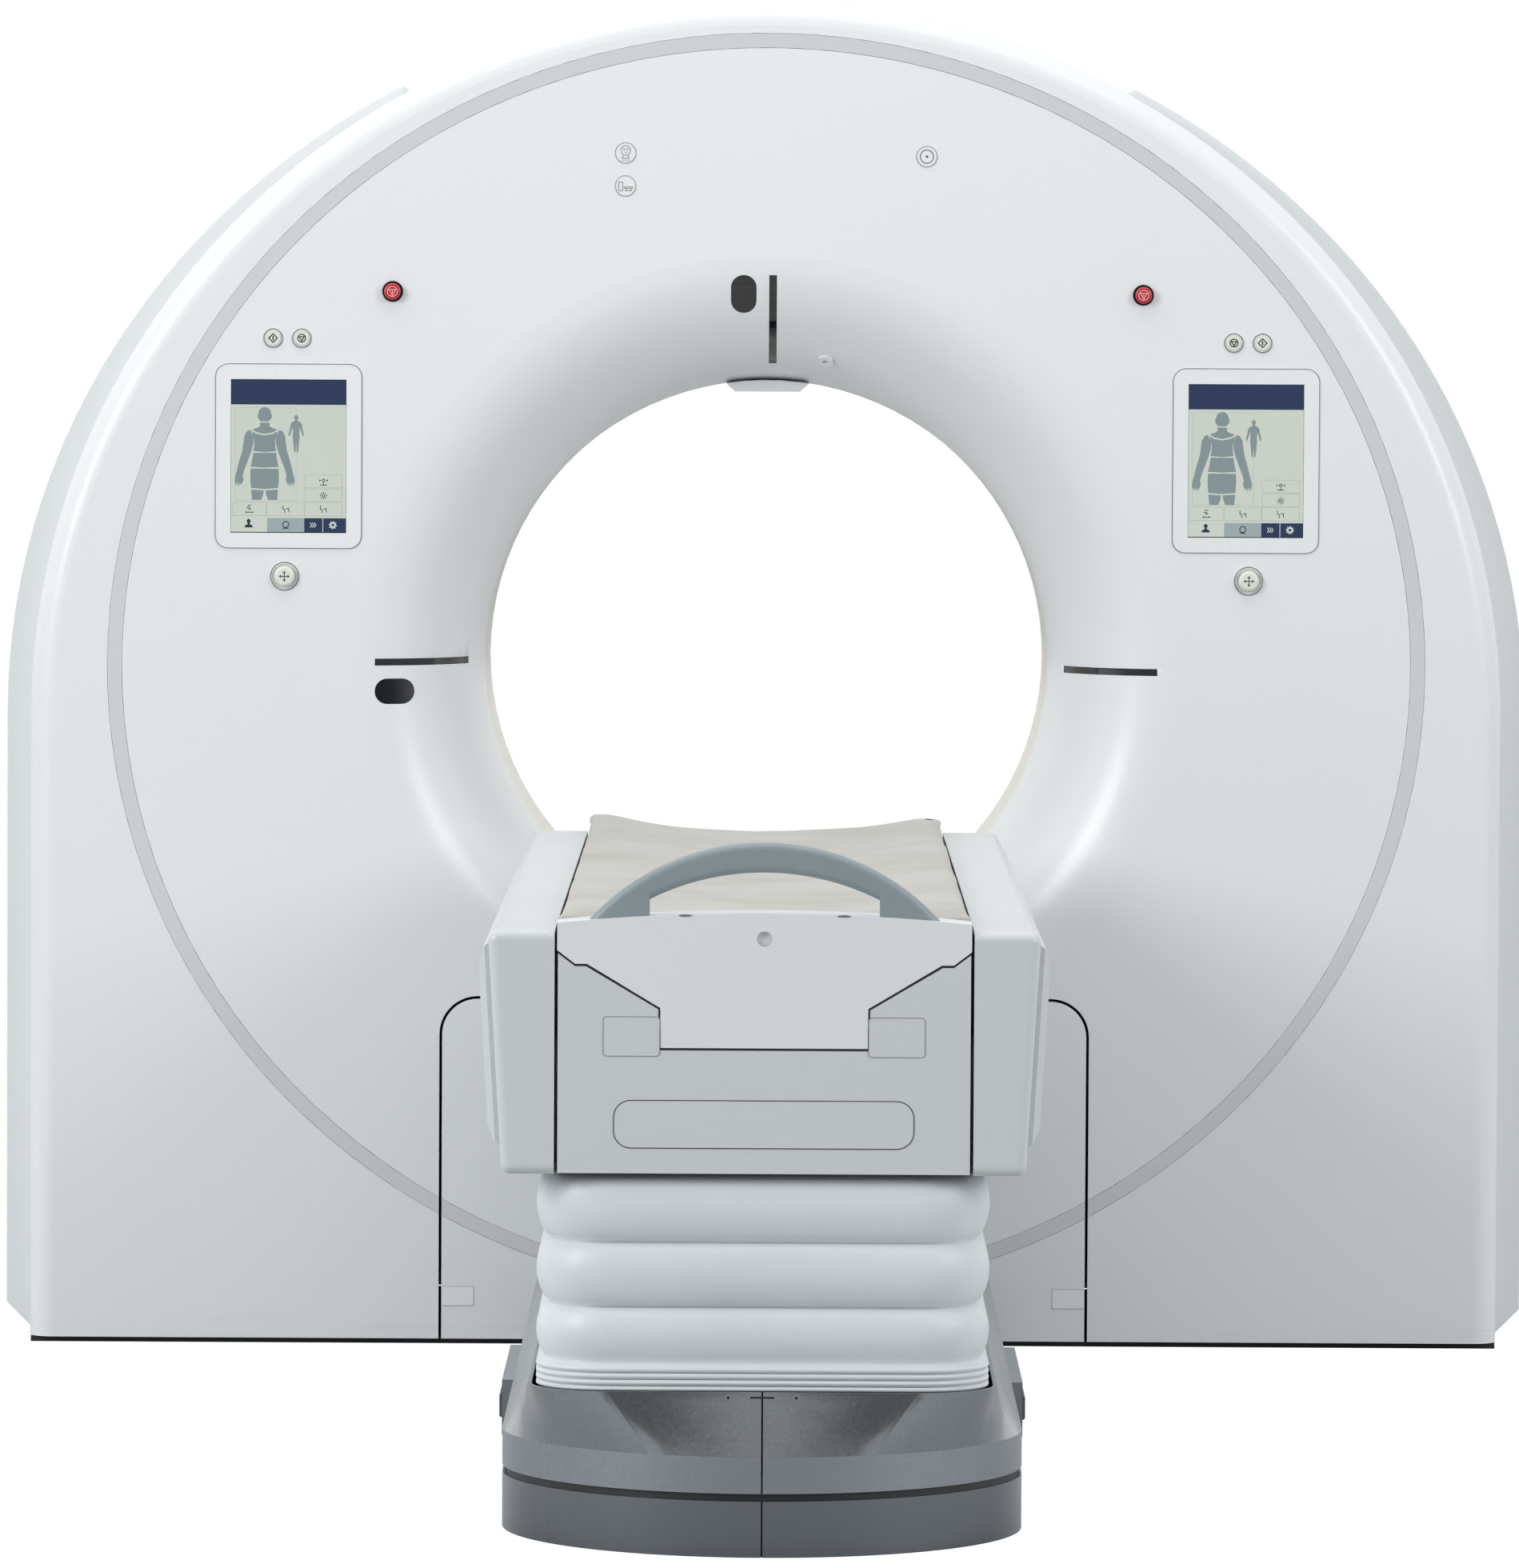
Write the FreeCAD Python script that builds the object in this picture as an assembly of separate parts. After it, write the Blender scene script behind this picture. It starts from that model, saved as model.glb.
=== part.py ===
"""CT scanner: gantry with its rotor, and the patient couch on its lift.

Millimetres, +Z up.  The origin is on the floor below the isocentre, which is
the centre of the bore.  +Y runs along the bore away from the couch, and the
couch stands in front of the gantry, towards -Y.
"""
import FreeCAD, Part
import math
import os

from FreeCAD import Vector

os.makedirs("parts", exist_ok=True)

# ---------------------------------------------------------------- clearances
FIT = 0.4              # between pieces that are fitted together
SEAM = 4.0             # open seam that shows as a dark line
TOUCH = 0.3            # between a moving piece and what guides it

# -------------------------------------------------------------------- gantry
ISO_HEIGHT = 955.0     # isocentre above the floor
BORE_RADIUS = 400.0
BORE_HALF = 140.0      # half length of the straight part of the bore
FLARE_RISE = 175.0     # from the bore out to the flat face
FLARE_RADIUS = BORE_RADIUS + FLARE_RISE
FACE_Y = -360.0        # flat front face
REAR_Y = 400.0         # flat rear face
ARCH_HEIGHT = 886.0    # height of the centre of the elliptical outlines
COVER_HALF_WIDTH = 1032.0
COVER_RISE = 1000.0    # front cover: from the ellipse centre to the top
SHELL_STANDOUT = 36.0   # of the side covers beyond the front cover
SHELL_HALF_WIDTH = COVER_HALF_WIDTH + SHELL_STANDOUT
SHELL_RISE = 1004.0    # side covers: the same
SHELL_LIP = 68.0       # width of the side cover's front flange
SHELL_LIP_TOP = 19.0   # the same at the top of the ellipse
SHELL_END_X = 514.0    # where a side cover ends at the top
SHELL_CHAMFER = 42.0
VENT_SLOTS = ((637.0, 682.0), (399.0, 455.0), (320.0, 370.0), (229.0, 263.0), (127.0, 195.0))
VENT_SPAN = (-180.0, 220.0)
VENT_LAP = 15.0        # of the filter panel behind the slots' edges
VENT_PANEL = 6.0
COVER_EDGE = 34.0      # rounding of the front and rear covers
COVER_DEPTH = 70.0     # how far a front or rear cover reaches back
REAR_SEAM = 1.0        # gap between the rear cover's four panels
ROOF = 2000.0          # above everything
SKIN = 5.0             # wall of the gantry covers
TOP_SETBACK = 1.0      # of the top cover inside the front and rear covers' outline
FLOOR_PLATE = 8.0
COVER_FOOT = FLOOR_PLATE + TOUCH
FLOOR_PLATE_INSET = 15.0
ANCHOR_RADIUS = 11.0
GANTRY_ANCHOR_X = 940.0
GANTRY_ANCHOR_Y = (-290.0, 330.0)

RING_HALF_WIDTH = 923.0
RING_HALF_HEIGHT = 886.0
RING_WIDTH = 20.0
RING_DEPTH = 3.0       # how deep the ring is let into the docking cover
DOCK_HALF_WIDTH = 452.0
DOCK_TOP = 487.0
DOCK_CORNER = 50.0
FLARE_LIP = 6.0
DOCK_DEPTH = 26.0
PROUD = 0.5            # of pieces that stand just in front of their surroundings
WINDOW_WALL = 2.0      # scan window in the bore
CAMERA_WINDOWS = ((-34.0, 1477.0, 35.0, 52.0), (-521.0, 918.0, 54.0, 35.0))  # x, z, width, height
CAMERA_CORNER = 17.0
LASER_SLOTS = ((2.0, 12.0, 1380.0, 1503.0), (-548.0, -421.0, 954.5, 963.5),
               (421.0, 548.0, 945.5, 954.5))  # x from and to, z from and to
POD_OUTLINE = ((-60.0, -3.0), (-46.0, -16.0), (46.0, -16.0), (60.0, -3.0), (60.0, 10.0),
               (-60.0, 10.0))  # x, and height above the bore's top
POD_Y = (-195.0, -142.0)

BEAM_X = 680.0         # base beams below the stator's legs
BEAM_WIDTH = 160.0
BEAM_TOP = 88.0
BEAM_Y = (-250.0, 320.0)
STATOR_Y = 120.0
STATOR_THICKNESS = 50.0
STATOR_INNER = 585.0
STATOR_OUTER = 730.0
STATOR_LEG_WIDTH = 220.0
STATOR_LEG_X = 670.0
RACE_GAP = 3.0
RACE_RADIUS = 598.5    # middle of the main bearing
RACE_THICKNESS = 40.0
INNER_RACE_THICKNESS = 36.0
OUTER_RACE_LENGTH = 60.0
INNER_RACE_GAP = 8.0   # between the inner race and the stator
BRUSH_ARM = (60.0, 18.0, 640.0, 480.0)  # half width, thickness, foot and top below the isocentre
BRUSH_HALF = 40.0
BRUSH_FOOT = 540.0     # the same, of the brushes
SLIP_RADII = (470.0, 545.0)
SLIP_BACK = 100.0      # rear face of the slip ring
DRUM_Y = -10.0         # front face of the drum's plate
DRUM_PLATE = 30.0
DRUM_INNER = 425.0
DRUM_RADIUS = 785.0
DRUM_RIM = 30.0
DRUM_RIM_LENGTH = 72.0
TUBE_DISTANCE = 600.0  # X-ray tube's focus from the isocentre
TUBE_RADIUS = 110.0
TUBE_LENGTH = 215.0
COLLIMATOR_HALF = 110.0
COLLIMATOR_LENGTH = 160.0
COLLIMATOR_HEIGHT = 47.0
COLLIMATOR_GAP = 3.0
DETECTOR_DISTANCE = 1072.0
DETECTOR_HALF_FAN = 25.0
DETECTOR_THICKNESS = 58.0
DETECTOR_DEPTH = 170.0
UNIT_INNER = 470.0     # boxes that ride on the drum
UNIT_LENGTH = 270.0
UNIT_HEIGHT = 260.0
UNIT_DEPTH = 205.0
PULLEY_RADIUS = 60.0
PULLEY_X = 880.0
PULLEY_Z = 235.0
BELT_WIDTH = 30.0
BELT_THICKNESS = 6.0
BELT_Y = 30.0
MOTOR_RADIUS = 75.0
MOTOR_LENGTH = 180.0
MOTOR_GAP = 10.0       # between the belt and the motor
MOTOR_FOOT_HALF = 50.0
MOTOR_FOOT_SETBACK = 20.0
SHAFT_RADIUS = 14.0
PULLEY_FLANGE = 3.0    # how far the pulley reaches past the belt

# ------------------------------------------------------------ gantry controls
DISPLAY_WIDTH = 205.0
DISPLAY_HEIGHT = 258.0
DISPLAY_CORNER = 18.0
SCREEN_WIDTH = 161.0
SCREEN_HEIGHT = 214.0
BEZEL_PROUD = 1.5
BEZEL_DEPTH = 28.0
SCREEN_DEPTH = 8.0
DISPLAY_X = 670.0
DISPLAY_Z = 1247.0
ESTOP_X = 525.0
ESTOP_Z = 1478.0
ESTOP_RADIUS = 11.5
ESTOP_PROUD = 14.0     # how far a cap stands in front of the face
ESTOP_TRAVEL = 5.0
ESTOP_EDGE = 3.0       # rounding of the cap
OUTER_BUTTON_X = 692.0
INNER_BUTTON_X = 652.0
BUTTON_Z = 1412.0
BUTTON_RADIUS = 10.5
BUTTON_PROUD = 3.0
BUTTON_TRAVEL = 1.5
BUTTON_EDGE = 1.0
JOYSTICK_X = 675.0
JOYSTICK_Z = 1079.0
JOYSTICK_RADIUS = 14.0
JOYSTICK_PROUD = 12.0
JOYSTICK_STEM = 4.0
JOYSTICK_SWING = 3.4   # room round the cap for its tilt
JOYSTICK_BALL = 7.0
JOYSTICK_EDGE = 4.0
JOYSTICK_CAP_BACK = FACE_Y - 2.0
JOYSTICK_PIVOT_Y = FACE_Y + 15.0
RING_WALL = 2.5        # ring round each button
RING_PROUD = 2.0
SWITCH_DEPTH = 30.0    # cup behind each ring
SWITCH_BACK = 4.0
MIC_RADIUS = 12.0
MIC_X = 81.0
MIC_Z = 1385.0
MIC_LENGTH = 10.0
MIC_SUNK = 6.0         # how much of it is behind the flare's surface
MIC_PORT = 4.0         # radius of its opening
MIC_PORT_DEPTH = 2.0
INDICATOR_RADIUS = 14.5
INDICATOR_PROUD = 1.0
INDICATOR_DEPTH = 12.0
INDICATORS = ((-200.0, 1673.0), (-200.0, 1627.0), (221.0, 1670.0))

# --------------------------------------------------------------------- couch
COUCH_FRONT = -2660.0
COUCH_REAR = -510.0
COUCH_HALF_WIDTH = 325.0
COUCH_HALF_BOTTOM = 308.0
COUCH_TOP = 732.0
COUCH_BOTTOM = 445.0
COUCH_SKIN = 5.0
COUCH_EDGE = 12.0
CHANNEL_HALF = 242.0   # half width of the end cover between the side covers
CAP_TOP = 741.0        # end cap's top corners
CAP_ARCH = 12.0        # and the rise of its top edge
CAP_DEPTH = 70.0
CAP_SKIN = 4.0
CAP_STEP_Z = 693.0
CAP_SIDE_Z = 709.0
CAP_STEP_OUTER = 222.0
CAP_STEP_INNER = 208.0
CAP_KEEL_HALF = 121.5
CAP_KEEL_TOP = 641.5
CAP_KEEL_BOTTOM = 594.7
CAP_HOLE_RADIUS = 9.0
CAP_HOLE_Z = 723.0
CRADLE_HALF = 236.0
CRADLE_EDGE_Z = 735.0
CRADLE_DIP = 22.0
CRADLE_EDGE = 11.0     # thickness at the edge
CRADLE_THICKNESS = 21.0
PAD_THICKNESS = 16.0
PAD_GAP = 2.0          # between the mattress and the end cap
CRADLE_SETBACK = 2.0   # of the cradle's end inside the couch's
PAD_SETBACK = 4.0
RUNNER_SETBACK = 30.0
HANDLE_HALF_OUTER = 214.0
HANDLE_HALF_INNER = 135.0
HANDLE_TOP = 835.0
HANDLE_BAR = 35.0
HANDLE_SHOULDER = 768.0
HANDLE_DEPTH = 30.0
HANDLE_ROUND = 9.0
HANDLE_SUNK = 6.0      # how far its feet reach below the end cap's top corners
HANDLE_SETBACK = 8.0
RAIL_INNER = 190.0
RAIL_WIDTH = 24.0
RAIL_TOP = 674.0
RAIL_HEAD = 16.0
RAIL_WEB = 8.0
RAIL_SETBACK = 10.0
TRAY_HALF = 300.0
TRAY_PLATE = 8.0
TRIM_PROUD = 13.0
TRIM_SETBACK = 18.0
# height, and how far the trim stands out there
TRIM_PROFILE = ((479.0, 0.0), (484.0, TRIM_PROUD / 2), (500.0, TRIM_PROUD),
                (690.0, TRIM_PROUD), (711.0, TRIM_PROUD / 2), (716.0, 0.0))
TRIM_CHAMFER = 8.0
HATCH_WIDTH = 352.0
HATCH_HEIGHT = 56.0
HATCH_Z = 505.0
HATCH_CORNER = 20.0
FLAP_WIDTH = 66.0
FLAP_HEIGHT = 46.0
FLAP_X = 155.5
FLAP_Z = 608.0
FLAP_CORNER = 4.0
CAP_GAP = 3.0          # dark line round the end cap
HATCH_PROUD = 0.5

# ---------------------------------------------------------------- couch base
BASE_HALF_WIDTH = 312.0
BASE_SET_IN = 270.0    # centre of the round front, behind the couch's front
BASE_ROUND_Y = COUCH_FRONT + BASE_SET_IN
BASE_REAR = FACE_Y - 2.0
BASE_WALL = 4.0
FRONT_STOPS = (0, 35, 65, 115, 145, 180)  # where the round front's arcs meet, in degrees
BASE_BEAM_X = (200.0, 240.0)
BASE_BEAM_Y = (-2500.0, -500.0)
BASE_BEAM_TOP = 60.0
SKIRT_TOP = 66.0
UPPER_FOOT = 75.0
SHOULDER_Z = 118.0
RIM_Z = 190.0
BELLOWS_HALF = 268.0
BELLOWS_CORNER = 85.0
BELLOWS_WALL = 6.0
BELLOWS_FOOT = RIM_Z - BASE_WALL / 2
BELLOWS_GAP = 5.0      # between the bellows and the opening's edge
BELLOWS_SETBACK = 8.0  # of the bellows behind the couch's front
BELLOWS_REAR = -566.0
FRAME_INSET = 4.5
FRAME_WALL = 6.0
FRAME_TOP = 95.0
TONGUE_HALF = 280.0    # plate that joins the couch base to the gantry's floor plate
COUCH_ANCHOR_X = 150.0
COUCH_ANCHOR_Y = (-2350.0, -750.0)
LIFT_Y = (-2150.0, -1000.0)
LIFT_SIZE = 220.0      # outer stage, square
LIFT_WALL = 9.0
LIFT_FIT = 0.5
OUTER_STAGE_TOP = 235.0
MIDDLE_STAGE = (95.0, 370.0)
INNER_STAGE_FOOT = 180.0
PEDAL_Y = -1510.0
PEDAL_Z = 65.0
PEDAL_LENGTH = 380.0
PEDAL_HEIGHT = 30.0
PEDAL_THICKNESS = 12.0
PEDAL_ROOM = 10.0      # above, below and beyond the pedal, for its rocking
PEDAL_RIM = 10.0
PEDAL_BACK = 6.0
PEDAL_PIN = 6.0
PEDAL_PROUD = 4.0
PEDAL_EDGE = 3.0
PEDAL_CLEAR = 1.0      # between the pedal and the back of its housing


# ------------------------------------------------------------------- helpers
def box(x0, x1, y0, y1, z0, z1):
    return Part.makeBox(x1 - x0, y1 - y0, z1 - z0, Vector(x0, y0, z0))


def rod_y(radius, y0, y1, x=0.0, z=ISO_HEIGHT):
    return Part.makeCylinder(radius, y1 - y0, Vector(x, y0, z), Vector(0, 1, 0))


def ring_y(inner, outer, y0, y1, x=0.0, z=ISO_HEIGHT):
    return rod_y(outer, y0, y1, x, z).cut(rod_y(inner, y0 - 1, y1 + 1, x, z))


def line(p, q):
    return Part.LineSegment(p, q).toShape()


def arc(p, middle, q):
    return Part.Arc(p, middle, q).toShape()


def extrude_y(edges, y0, y1):
    """Closed edges that lie at y = 0, extruded from y0 to y1."""
    face = Part.Face(Part.Wire(Part.__sortEdges__(edges)))
    face.translate(Vector(0, y0, 0))
    return face.extrude(Vector(0, y1 - y0, 0))


def polygon_y(points, y0, y1):
    corners = [Vector(x, 0, z) for x, z in points]
    edges = [line(p, q) for p, q in zip(corners, corners[1:] + corners[:1])]
    return extrude_y(edges, y0, y1)


def rounded_panel(width, height, corner, y0, y1, x, z):
    """Upright panel with rounded corners, centred at x, z."""
    panel = box(x - width / 2, x + width / 2, y0, y1, z - height / 2, z + height / 2)
    upright = [e for e in panel.Edges if abs(e.tangentAt(e.FirstParameter).y) > 0.99]
    return panel.makeFillet(corner, upright)


def mirrored(shape):
    return shape.mirror(Vector(0, 0, 0), Vector(1, 0, 0))


def both_sides(shape):
    return Part.makeCompound([shape, mirrored(shape)])


def ellipse_edge(half_width, half_height, height, start, end):
    """Arc of an upright ellipse at y = 0, from start to end degrees."""
    curve = Part.Ellipse(Vector(half_width, 0, height),
                         Vector(0, 0, height + half_height), Vector(0, 0, height))
    return Part.Arc(curve, math.radians(start), math.radians(end)).toShape()


def ellipse_y(half_width, half_height, height, y0, y1):
    edges = [ellipse_edge(half_width, half_height, height, 0, 180),
             ellipse_edge(half_width, half_height, height, 180, 360)]
    return extrude_y(edges, y0, y1)


def arch_y(half_width, rise, y0, y1, foot=COVER_FOOT, chamfer=0.0):
    """Upright sides below half an ellipse."""
    top = ellipse_edge(half_width, rise, ARCH_HEIGHT, 0, 180)
    corners = [Vector(-half_width, 0, ARCH_HEIGHT), Vector(-half_width, 0, foot + chamfer)]
    if chamfer:
        corners += [Vector(chamfer - half_width, 0, foot), Vector(half_width - chamfer, 0, foot)]
        corners += [Vector(half_width, 0, foot + chamfer)]
    else:
        corners += [Vector(half_width, 0, foot)]
    corners += [Vector(half_width, 0, ARCH_HEIGHT)]
    sides = [line(p, q) for p, q in zip(corners, corners[1:])]
    return extrude_y([top] + sides, y0, y1)


def export(name, shape):
    solids = shape.Solids
    if not solids or not shape.isValid():
        raise ValueError("bad shape: " + name)
    kept = solids[0] if len(solids) == 1 else Part.makeCompound(solids)
    kept.exportStep("parts/" + name + ".step")


# -------------------------------------------------------------- gantry covers
def rounded_arch(inset, face_y, back_y):
    """Front or rear cover's solid, with the edge round the flat face rounded."""
    low, high = sorted((face_y, back_y))
    solid = arch_y(COVER_HALF_WIDTH - inset, COVER_RISE - inset, low, high,
                   COVER_FOOT - (1.0 if inset else 0.0))
    edge = [e for e in solid.Edges
            if abs(e.CenterOfMass.y - face_y) < 0.01 and abs(e.BoundBox.YLength) < 0.01
            and e.BoundBox.ZMax > COVER_FOOT + 1]
    return solid.makeFillet(COVER_EDGE - inset, edge)


def flare(face_y, bore_y):
    """Trumpet from the flat face down to the bore, one wall thick."""
    if abs(face_y - bore_y) < FLARE_RADIUS - BORE_RADIUS:
        raise ValueError("the flare is wider than it is deep")
    sign = 1.0 if face_y > bore_y else -1.0

    def quarter(inset):
        start = Vector(FLARE_RADIUS, face_y - sign * inset, ISO_HEIGHT)
        end = Vector(BORE_RADIUS + inset, bore_y, ISO_HEIGHT)
        centre = Vector(FLARE_RADIUS, bore_y, ISO_HEIGHT)
        curve = Part.Ellipse(start, end, centre)
        return Part.Arc(curve, 0, math.pi / 2).toShape(), start, end

    outer, outer_start, outer_end = quarter(0)
    inner, inner_start, inner_end = quarter(SKIN)
    edges = [outer, line(outer_end, inner_end), inner, line(inner_start, outer_start)]
    face = Part.Face(Part.Wire(Part.__sortEdges__(edges)))
    return face.revolve(Vector(0, 0, ISO_HEIGHT), Vector(0, 1, 0), 360)


def dock_panel(grow, y0, y1):
    """Docking cover's outline: rounded at its top corners, cut by the flare's lip."""
    half = DOCK_HALF_WIDTH + grow
    top = DOCK_TOP + grow
    low = COVER_FOOT - grow
    panel = rounded_panel(2 * half, 2 * (top - low), DOCK_CORNER + grow, y0, y1, 0, low)
    panel = panel.common(box(-half, half, y0, y1, low, top))
    lip = FLARE_RADIUS + FLARE_LIP + SEAM - grow
    return panel.cut(rod_y(lip, y0 - 1, y1 + 1))


def optical_cutters(grow):
    """Camera and laser openings in the flare, as prisms along the bore."""
    span = (FACE_Y - 5, -BORE_HALF - 8)
    cameras = [rounded_panel(width + 2 * grow, height + 2 * grow, CAMERA_CORNER + grow, *span, x, z)
               for x, z, width, height in CAMERA_WINDOWS]
    lasers = [box(x0 - grow, x1 + grow, *span, z0 - grow, z1 + grow)
              for x0, x1, z0, z1 in LASER_SLOTS]
    return cameras, lasers


def mic_axis():
    """Point on the flare and outward direction for the microphone's boss."""
    x, z = MIC_X, MIC_Z - ISO_HEIGHT
    radius = math.hypot(x, z)
    fall = (FLARE_RADIUS - radius) / (FLARE_RADIUS - BORE_RADIUS)
    y = -BORE_HALF + (FACE_Y + BORE_HALF) * math.sqrt(1 - fall * fall)
    inward = fall / (FLARE_RADIUS - BORE_RADIUS)
    forward = math.sqrt(1 - fall * fall) / (BORE_HALF + FACE_Y)
    normal = Vector(-inward * x / radius, forward, -inward * z / radius).normalize()
    return Vector(x, y, ISO_HEIGHT + z), normal


def control_places():
    """Name, x, z and kind of each control on the front face."""
    kinds = (("estop", ESTOP_X, ESTOP_Z, "estop"),
             ("start_button", OUTER_BUTTON_X, BUTTON_Z, "button"),
             ("stop_button", INNER_BUTTON_X, BUTTON_Z, "button"),
             ("joystick", JOYSTICK_X, JOYSTICK_Z, "joystick"))
    return [(name + "_" + side, sign * x, z, kind)
            for sign, side in ((-1, "left"), (1, "right")) for name, x, z, kind in kinds]


def ring_inner_radius(kind):
    if kind == "estop":
        return ESTOP_RADIUS + TOUCH
    if kind == "button":
        return BUTTON_RADIUS + TOUCH
    return JOYSTICK_RADIUS + JOYSTICK_SWING


def switch_housing(kind, x, z):
    """Ring and cup that a control sits in, closed at the back."""
    inner = ring_inner_radius(kind)
    back = FACE_Y + SWITCH_DEPTH
    cup = rod_y(inner + RING_WALL, FACE_Y - RING_PROUD, back, x, z)
    if kind == "joystick":
        cup = cup.cut(rod_y(inner, FACE_Y - 3, JOYSTICK_PIVOT_Y - JOYSTICK_BALL, x, z))
        return cup.cut(rod_y(JOYSTICK_BALL + TOUCH, FACE_Y, back - SWITCH_BACK, x, z))
    return cup.cut(rod_y(inner, FACE_Y - 3, back - SWITCH_BACK, x, z))


def rounded_cap(radius, proud, back, edge, x, z):
    """Round cap that stands proud of the face, with its front edge rounded."""
    cap = rod_y(radius, FACE_Y - proud, back, x, z)
    front = [e for e in cap.Edges if abs(e.CenterOfMass.y - FACE_Y + proud) < 0.01]
    return cap.makeFillet(edge, front)


def control_cap(kind, x, z):
    """The piece that a finger presses or tilts."""
    back = FACE_Y + SWITCH_DEPTH - SWITCH_BACK - FIT
    if kind == "estop":
        return rounded_cap(ESTOP_RADIUS, ESTOP_PROUD, back - ESTOP_TRAVEL, ESTOP_EDGE, x, z)
    if kind == "button":
        return rounded_cap(BUTTON_RADIUS, BUTTON_PROUD, back - BUTTON_TRAVEL, BUTTON_EDGE, x, z)
    cap = rounded_cap(JOYSTICK_RADIUS, JOYSTICK_PROUD, JOYSTICK_CAP_BACK, JOYSTICK_EDGE, x, z)
    stem = rod_y(JOYSTICK_STEM, JOYSTICK_CAP_BACK - 2, JOYSTICK_PIVOT_Y, x, z)
    ball = Part.makeSphere(JOYSTICK_BALL, Vector(x, JOYSTICK_PIVOT_Y, z))
    return cap.fuse([stem, ball])


def make_front_covers():
    outer = rounded_arch(0, FACE_Y, FACE_Y + COVER_DEPTH)
    inner = rounded_arch(SKIN, FACE_Y + SKIN, FACE_Y + COVER_DEPTH + 1)
    shell = outer.cut(inner)
    through = (FACE_Y - 5, FACE_Y + COVER_DEPTH + 5)
    dock_cutter = dock_panel(SEAM, *through)

    ring_hole = ellipse_y(RING_HALF_WIDTH + FIT, RING_HALF_HEIGHT + FIT, ISO_HEIGHT, *through)
    export("front_cover", shell.cut(ring_hole).cut(dock_cutter))

    plate = ellipse_y(RING_HALF_WIDTH - RING_WIDTH - FIT, RING_HALF_HEIGHT - RING_WIDTH - FIT,
                      ISO_HEIGHT, FACE_Y, FACE_Y + SKIN)
    plate = plate.cut(rod_y(FLARE_RADIUS, *through)).cut(dock_cutter)
    trumpet = flare(FACE_Y, -BORE_HALF)
    face = plate.fuse(trumpet)
    cutters = []
    for sign in (-1, 1):
        cutters.append(rounded_panel(DISPLAY_WIDTH + 2 * FIT, DISPLAY_HEIGHT + 2 * FIT,
                                     DISPLAY_CORNER + FIT, *through, sign * DISPLAY_X, DISPLAY_Z))
    for name, x, z, kind in control_places():
        cutters.append(rod_y(ring_inner_radius(kind) + RING_WALL + FIT, *through, x, z))
    for x, z in INDICATORS:
        cutters.append(rod_y(INDICATOR_RADIUS + FIT, *through, x, z))
    cameras, lasers = optical_cutters(FIT)
    place, normal = mic_axis()
    mic_hole = Part.makeCylinder(MIC_RADIUS + FIT, 4 * MIC_LENGTH, place - normal * 2 * MIC_LENGTH,
                                 normal)
    export("front_face_cover", face.cut(cutters + cameras + lasers + [mic_hole]))

    cameras, lasers = optical_cutters(0)
    windows = [prism.common(trumpet) for prism in cameras + lasers]
    export("optical_windows", Part.makeCompound(windows))
    boss = Part.makeCylinder(MIC_RADIUS, MIC_LENGTH, place - normal * MIC_SUNK, normal)
    port = Part.makeCylinder(MIC_PORT, MIC_LENGTH, place - normal * MIC_PORT_DEPTH, normal)
    export("microphone_boss", boss.cut(port))

    ring = ellipse_y(RING_HALF_WIDTH, RING_HALF_HEIGHT, ISO_HEIGHT, FACE_Y - PROUD, FACE_Y + SKIN)
    ring = ring.cut(ellipse_y(RING_HALF_WIDTH - RING_WIDTH, RING_HALF_HEIGHT - RING_WIDTH,
                              ISO_HEIGHT, *through))
    inlay = ring.common(dock_panel(0, FACE_Y - PROUD, FACE_Y + RING_DEPTH - FIT))
    export("accent_ring", Part.makeCompound([ring.cut(dock_cutter), inlay]))

    dock = dock_panel(0, FACE_Y, FACE_Y + DOCK_DEPTH)
    dock = dock.cut(dock_panel(-SKIN, FACE_Y + SKIN, FACE_Y + DOCK_DEPTH + 1))
    groove = ellipse_y(RING_HALF_WIDTH + FIT, RING_HALF_HEIGHT + FIT, ISO_HEIGHT,
                       FACE_Y - 1, FACE_Y + RING_DEPTH)
    groove = groove.cut(ellipse_y(RING_HALF_WIDTH - RING_WIDTH - FIT,
                                  RING_HALF_HEIGHT - RING_WIDTH - FIT, ISO_HEIGHT,
                                  FACE_Y - 2, FACE_Y + RING_DEPTH + 1))
    export("dock_cover", dock.cut(groove))


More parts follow.
